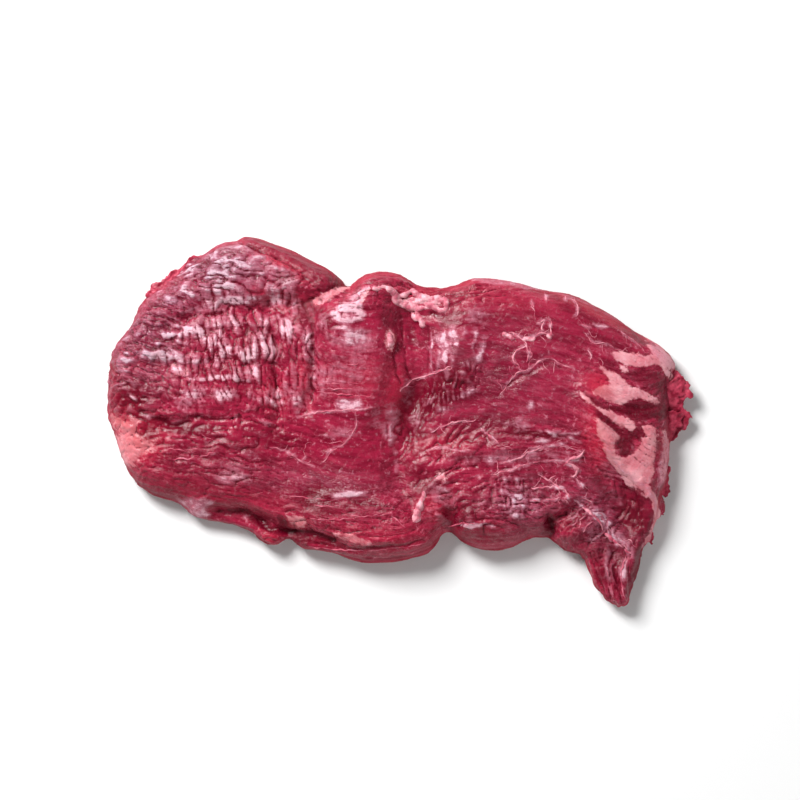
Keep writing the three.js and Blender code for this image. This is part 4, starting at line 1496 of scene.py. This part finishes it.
@dataclass(frozen=True)
class MeatFinish:
    """Raw muscle with its films, fat and wet shine, with painted shade in its hollows and painted highlights
    on its films.

    Args:
        dark_and_shade: The darkest meat, and painted shade in the hollows, creases and deepest cuts.
        deep: Muscle at its deepest red, also laid in the lobe's creases as painted shade.
        mid: Most of the muscle.
        pale: Fibres that catch the light.
        vivid: The bright red of freshly torn meat.
        veil: The silky skin.
        film_and_highlight: Thin film, also the painted glints and the painted highlights on raised lines and
            ripples.
        thick_film_and_highlight: Thick film, with painted highlights where the film tone is strong, and
            painted glints on the fat.
        fat: The darker fat.
        pale_fat: The paler fat.
        salmon: Fat that red shows through.
        silk_tint: What the silky skin takes off the colour below it.
    """

    dark_and_shade: Colour = srgb(90, 0, 22)
    deep: Colour = srgb(116, 6, 36)
    mid: Colour = srgb(155, 27, 59)
    pale: Colour = srgb(192, 80, 104)
    vivid: Colour = srgb(186, 32, 60)
    veil: Colour = srgb(170, 78, 104)
    film_and_highlight: Colour = srgb(204, 128, 148)
    thick_film_and_highlight: Colour = srgb(236, 190, 203)
    fat: Colour = srgb(216, 126, 138)
    pale_fat: Colour = srgb(238, 170, 178)
    salmon: Colour = srgb(188, 74, 80)
    silk_tint: Colour = (0.76, 0.9, 0.92)

    def build(self) -> bpy.types.Material:
        """Makes the material.

        Returns:
            The material.
        """
        b = Bench("raw_meat")
        fibrous, silky, vivid, dull, film_and_highlight_cover, shaded = (b.attribute(tone.value) for tone in (
            Tone.FIBRE, Tone.SILK, Tone.VIVID, Tone.DULL, Tone.FILM_AND_HIGHLIGHT, Tone.DARK))
        grain, place = b.attribute("grain", "Vector"), b.place()
        hollow = b.node("ShaderNodeSeparateXYZ", {0: b.attribute("hollow", "Vector")})
        near, wide, lobe = hollow.outputs

        # Noises that follow the fibres, that run aslant over the films, and that follow nothing
        broad = b.noise(b.stretched(grain, 0.04, 0.25, 0.25), 1, 4, 0.6)
        fibre = b.noise(b.stretched(grain, 0.1, 0.85, 0.5), 1, 4, 0.62, 0.4)
        fine = b.noise(b.stretched(grain, 0.3, 2, 1.2), 1, 3, 0.6, 0.6)
        strand = b.noise(b.stretched(grain, 0.06, 0.42, 0.42), 1, 2, 0.5, 0.7)
        upright = b.noise(b.stretched(grain, 0.3, 0.07, 0.2), 1, 2, 0.5, 0.8)
        silk = b.noise(b.turned(place, -18, 16 * MM, 5 * MM), 1, 2, 0.5, 0.8)
        streaks = b.noise(b.turned(place, -32, 10 * MM, 1.6 * MM), 1, 3, 0.6, 0.5)
        ripple = b.noise(b.turned(place, -16, 6 * MM, 1.3 * MM), 1, 2, 0.5, 0.6)
        cloud = b.noise(place, 60, 4, 0.6)
        speck = b.noise(place, 420, 4, 0.65, 0.3)
        grit = b.noise(place, 1000, 3, 0.6, 0.3)

        grained = b.band(fibrous, 0, 1, 1, 0.16)
        specked = b.band(fibrous, 0, 0.6, 1, 0.4)
        cracks, glows = (b.times(b.lines(strand, level, 0.05), fibrous) for level in (0.46, 0.56))
        shade = b.plus(shaded, b.times(b.minus(speck, 0.5), 0.7))
        gaps = b.lines(silk, 0.44, 0.035)
        mesh = b.times(b.lines(silk, 0.54, 0.06), silky)
        ripples = b.times(b.band(ripple, 0.42, 0.62), silky)

        fat = b.ragged(Tone.FAT, b.plus(b.times(streaks, 0.45), b.times(speck, 0.55)), 2.2, 0.22)
        fat_colour = b.layered(self.fat, [
            (b.band(cloud, 0.42, 0.62), self.pale_fat),
            (b.band(streaks, 0.46, 0.32, 0.3), self.mid),
            # Painted glints on the fat
            (b.band(speck, 0.5, 0.7, 0.35), self.thick_film_and_highlight),
            (b.times(vivid, 0.85), self.salmon),
        ])

        upright_creases = b.times(b.lines(upright, 0.5, 0.03), lobe)
        creases = b.math("MAXIMUM", upright_creases, b.times(gaps, 0.6))
        edge = b.plus(b.times(speck, 0.6), b.times(fibre, 0.4))
        # Film patches, and painted highlights where the film tone is strong
        veil = b.ragged(Tone.FILM_AND_HIGHLIGHT, edge, 1.2, 0.3)
        bright = b.ragged(Tone.FILM_AND_HIGHLIGHT, b.minus(edge, 0.2), 1.4, 0.14)
        shaded_lobe_creases = b.times(creases, lobe)

        colour = b.layered(self.deep, [
            # Muscle, fibre by fibre
            (b.band(broad, 0.37, 0.61), self.mid),
            (b.times(b.band(fibre, 0.5, 0.3, 0.8), grained), self.deep),
            (b.times(b.band(fibre, 0.5, 0.74, 0.7), grained), self.pale),
            (b.times(b.band(fine, 0.53, 0.72, 0.7), grained), self.pale),
            (b.times(b.band(fine, 0.47, 0.3, 0.6), grained), self.deep),
            (b.times(cracks, 0.45), self.dark_and_shade),
            (b.times(glows, 0.35), self.pale),
            (b.times(b.band(speck, 0.54, 0.7, 0.6), specked), self.pale),
            (b.times(b.band(speck, 0.46, 0.3, 0.75), specked), self.deep),
            # Painted glints: sparse pale specks
            (b.band(speck, 0.6, 0.67, 0.55), self.film_and_highlight),
            (b.band(grit, 0.42, 0.32, 0.4), self.deep),
            (b.ragged(Tone.VIVID, speck, 0.5, 0.5), self.vivid),
            # The dark tone: darker meat, and painted shade in crevices, creases and along the rims
            (b.band(shade, 0.1, 1.05, 0.7), self.dark_and_shade),
            # The silky skin, with its net of lines: painted highlights on its raised lines and ripples, and
            # deeper red in its gaps
            (b.times(silky, 0.12), self.veil),
            (b.times(gaps, silky, 0.8), self.deep),
            (b.times(mesh, 0.3), self.film_and_highlight),
            (b.times(ripples, 0.16), self.film_and_highlight),
            (b.times(fat, 0.92), fat_colour),
            # Film with painted highlights on it, cut by the creases, and painted shade in the lobe's creases
            (b.times(veil, 0.55), self.film_and_highlight),
            (b.times(bright, b.minus(1, b.times(creases, 0.85)), 0.72), self.thick_film_and_highlight),
            (b.times(shaded_lobe_creases, 0.4), self.deep),
            # Painted shade in the hollows, and the dark tone laid on once more
            (b.band(near, 0.01, 0.22, 0.765), self.dark_and_shade),
            (b.band(wide, 0.3, 2.4, 0.3), self.dark_and_shade),
            (b.band(shade, 0.2, 1, 0.35), self.dark_and_shade),
        ])
        colour = b.layered(colour, [(silky, self.silk_tint)], "MULTIPLY")

        rough = b.plus(b.band(speck, 0.3, 0.7, 0.32, 0.2), b.times(veil, 0.03), b.times(dull, 0.42))
        height = b.plus(
            b.times(b.plus(b.times(fibre, 0.28), b.times(fine, 0.14)), grained),
            b.times(speck, b.plus(b.times(fibrous, 0.2), 0.34)),
            b.times(cracks, -0.1),
            b.times(ripples, 0.3),
            b.times(mesh, 0.16),
            b.times(shaded_lobe_creases, -0.25),
            b.times(b.plus(b.times(speck, 0.35), b.times(grit, 0.12)), film_and_highlight_cover),
        )
        return b.finish({"Base Color": colour, "Roughness": rough, "Normal": b.bump(height, MM, 1), **WET})


@dataclass(frozen=True)
class TissueFinish:
    """Pale moist tissue, with some red showing through.

    Args:
        name: The material's name.
        pale: Its main colour.
        tinged: The red that shows through.
    """

    name: str
    pale: Colour
    tinged: Colour

    def build(self) -> bpy.types.Material:
        """Makes the material.

        Returns:
            The material.
        """
        b = Bench(self.name)
        cloud, fine = b.noise(b.place(), 240, 3, 0.6), b.noise(b.place(), 900, 2, 0.5)
        return b.finish({
            "Base Color": b.layered(self.pale, [(b.band(cloud, 0.35, 0.65), self.tinged)]),
            "Roughness": b.band(fine, 0.3, 0.7, 0.6, 0.35),
            "Normal": b.bump(fine, 0.4 * MM, 0.5),
            **WET,
        })


WHITE_THREAD = TissueFinish("white_thread", srgb(220, 146, 160), srgb(186, 76, 100))
# The pink streaks are partly painted highlight lines
PINK_STREAK_AND_HIGHLIGHT = TissueFinish("pink_streak_and_highlight", srgb(206, 110, 130), srgb(176, 56, 82))
FAT_CORD = TissueFinish("fat", srgb(224, 164, 174), srgb(186, 88, 108))
TORN_MEAT = TissueFinish("torn_meat", srgb(190, 66, 90), srgb(132, 16, 44))


@dataclass(frozen=True)
class FloorFinish:
    """A plain pale floor.

    Args:
        colour: Its colour.
    """

    colour: Colour = (0.84, 0.84, 0.84)

    def build(self) -> bpy.types.Material:
        """Makes the material."""
        return Bench("pale_floor").finish({"Base Color": self.colour, "Roughness": 0.6})


@dataclass(frozen=True)
class SoftLight:
    """One square soft light that faces the steak.

    Args:
        name: What it is called.
        place: Where it stands, in metres.
        size: How wide it is, in metres.
        power: How strong it is, in watts.
        mirrored: Whether the wet meat mirrors it.
    """

    name: str
    place: tuple[float, float, float]
    size: float
    power: float
    mirrored: bool = True

    def build(self) -> None:
        """Sets the light up."""
        lamp = bpy.data.lights.new(self.name, "AREA")
        lamp.size = self.size
        lamp.energy = self.power
        holder = add_object(self.name, lamp)
        holder.location = self.place
        holder.rotation_euler = (-Vector(self.place)).to_track_quat("-Z", "Y").to_euler()
        holder.visible_glossy = self.mirrored


@dataclass
class Studio:
    """The floor, the lights and the camera straight above.

    Args:
        picture: The width of floor that the picture takes in at the meat's middle height.
        centre: Where the picture's middle falls in plan.
        height: How high the camera stands.
        middle: The height at which the picture's width is true.
        horizon: The strength of the light from the sides.
        zenith: The strength of the light from above.
        lights: The lamps.
    """

    picture: float = 400 * MM
    centre: Point = (0.0, 11 * MM)
    height: float = 1.7
    middle: float = 12 * MM
    horizon: float = 0.4
    zenith: float = 0.1
    lights: tuple[SoftLight, ...] = (
        SoftLight("key", (-0.75, 0.95, 1.05), 0.64, 45),
        SoftLight("fill", (0.8, -1.0, 0.6), 1.0, 8, mirrored=False),
    )

    def build(self) -> None:
        """Sets up the floor, the lights and the camera."""
        self.floor()
        for light in self.lights:
            light.build()
        self.sky()
        self.camera()

    def floor(self) -> None:
        """Adds the floor that the steak lies on."""
        bpy.ops.object.select_all(action="DESELECT")
        bpy.ops.mesh.primitive_plane_add(size=6, location=(0, 0, 0))
        plane = bpy.context.object
        plane.name = "pale_floor"
        plane.data.materials.append(FloorFinish().build())

    def sky(self) -> None:
        """Sets soft light all round, weak from straight above so that level wet meat doesn't mirror it."""
        world = bpy.data.worlds.new("soft_room")
        world.use_nodes = True
        tree = world.node_tree
        place = tree.nodes.new("ShaderNodeTexCoord")
        parts = tree.nodes.new("ShaderNodeSeparateXYZ")
        fade = tree.nodes.new("ShaderNodeMapRange")
        for name, number in (("From Max", 0.9), ("To Min", self.horizon), ("To Max", self.zenith)):
            fade.inputs[name].default_value = number
        tree.links.new(place.outputs["Generated"], parts.inputs[0])
        tree.links.new(parts.outputs["Z"], fade.inputs["Value"])
        tree.links.new(fade.outputs["Result"], tree.nodes["Background"].inputs["Strength"])
        tree.nodes["Background"].inputs["Color"].default_value = (1, 1, 1, 1)
        bpy.context.scene.world = world
        bpy.context.scene.view_settings.view_transform = "Standard"

    def camera(self) -> None:
        """Adds the camera, looking straight down."""
        lens = bpy.data.cameras.new("camera")
        lens.sensor_width = 36
        lens.lens = lens.sensor_width * (self.height - self.middle) / self.picture
        holder = add_object("camera", lens)
        holder.location = (*self.centre, self.height)
        bpy.context.scene.camera = holder


def dress(piece: Piece, finish: MeatFinish | TissueFinish) -> None:
    """Gives a piece its finish and says what it rides on.

    Args:
        piece: The piece.
        finish: Its finish.
    """
    piece.data.materials.clear()
    piece.data.materials.append(finish.build())
    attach(piece, "root")
    piece.data.calc_loop_triangles()
    log.info("%s: %d triangles", piece.name, len(piece.data.loop_triangles))


def main() -> None:
    """Builds the steak and the studio."""
    logging.basicConfig(level=logging.INFO, format="%(name)s %(message)s")
    meat = MeatBody().build()
    dress(meat, MeatFinish())
    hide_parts(NODE)
    dress(Tissue(ThreadKind.SINEW).build(meat), WHITE_THREAD)
    dress(Tissue(ThreadKind.STREAK_AND_HIGHLIGHT).build(meat), PINK_STREAK_AND_HIGHLIGHT)
    dress(Tissue(ThreadKind.FAT, sink=-0.55, scale=0.82, waver=0.4).build(meat), FAT_CORD)
    dress(TornEdges().build(), TORN_MEAT)
    Studio().build()


if __name__ == "__main__":
    main()
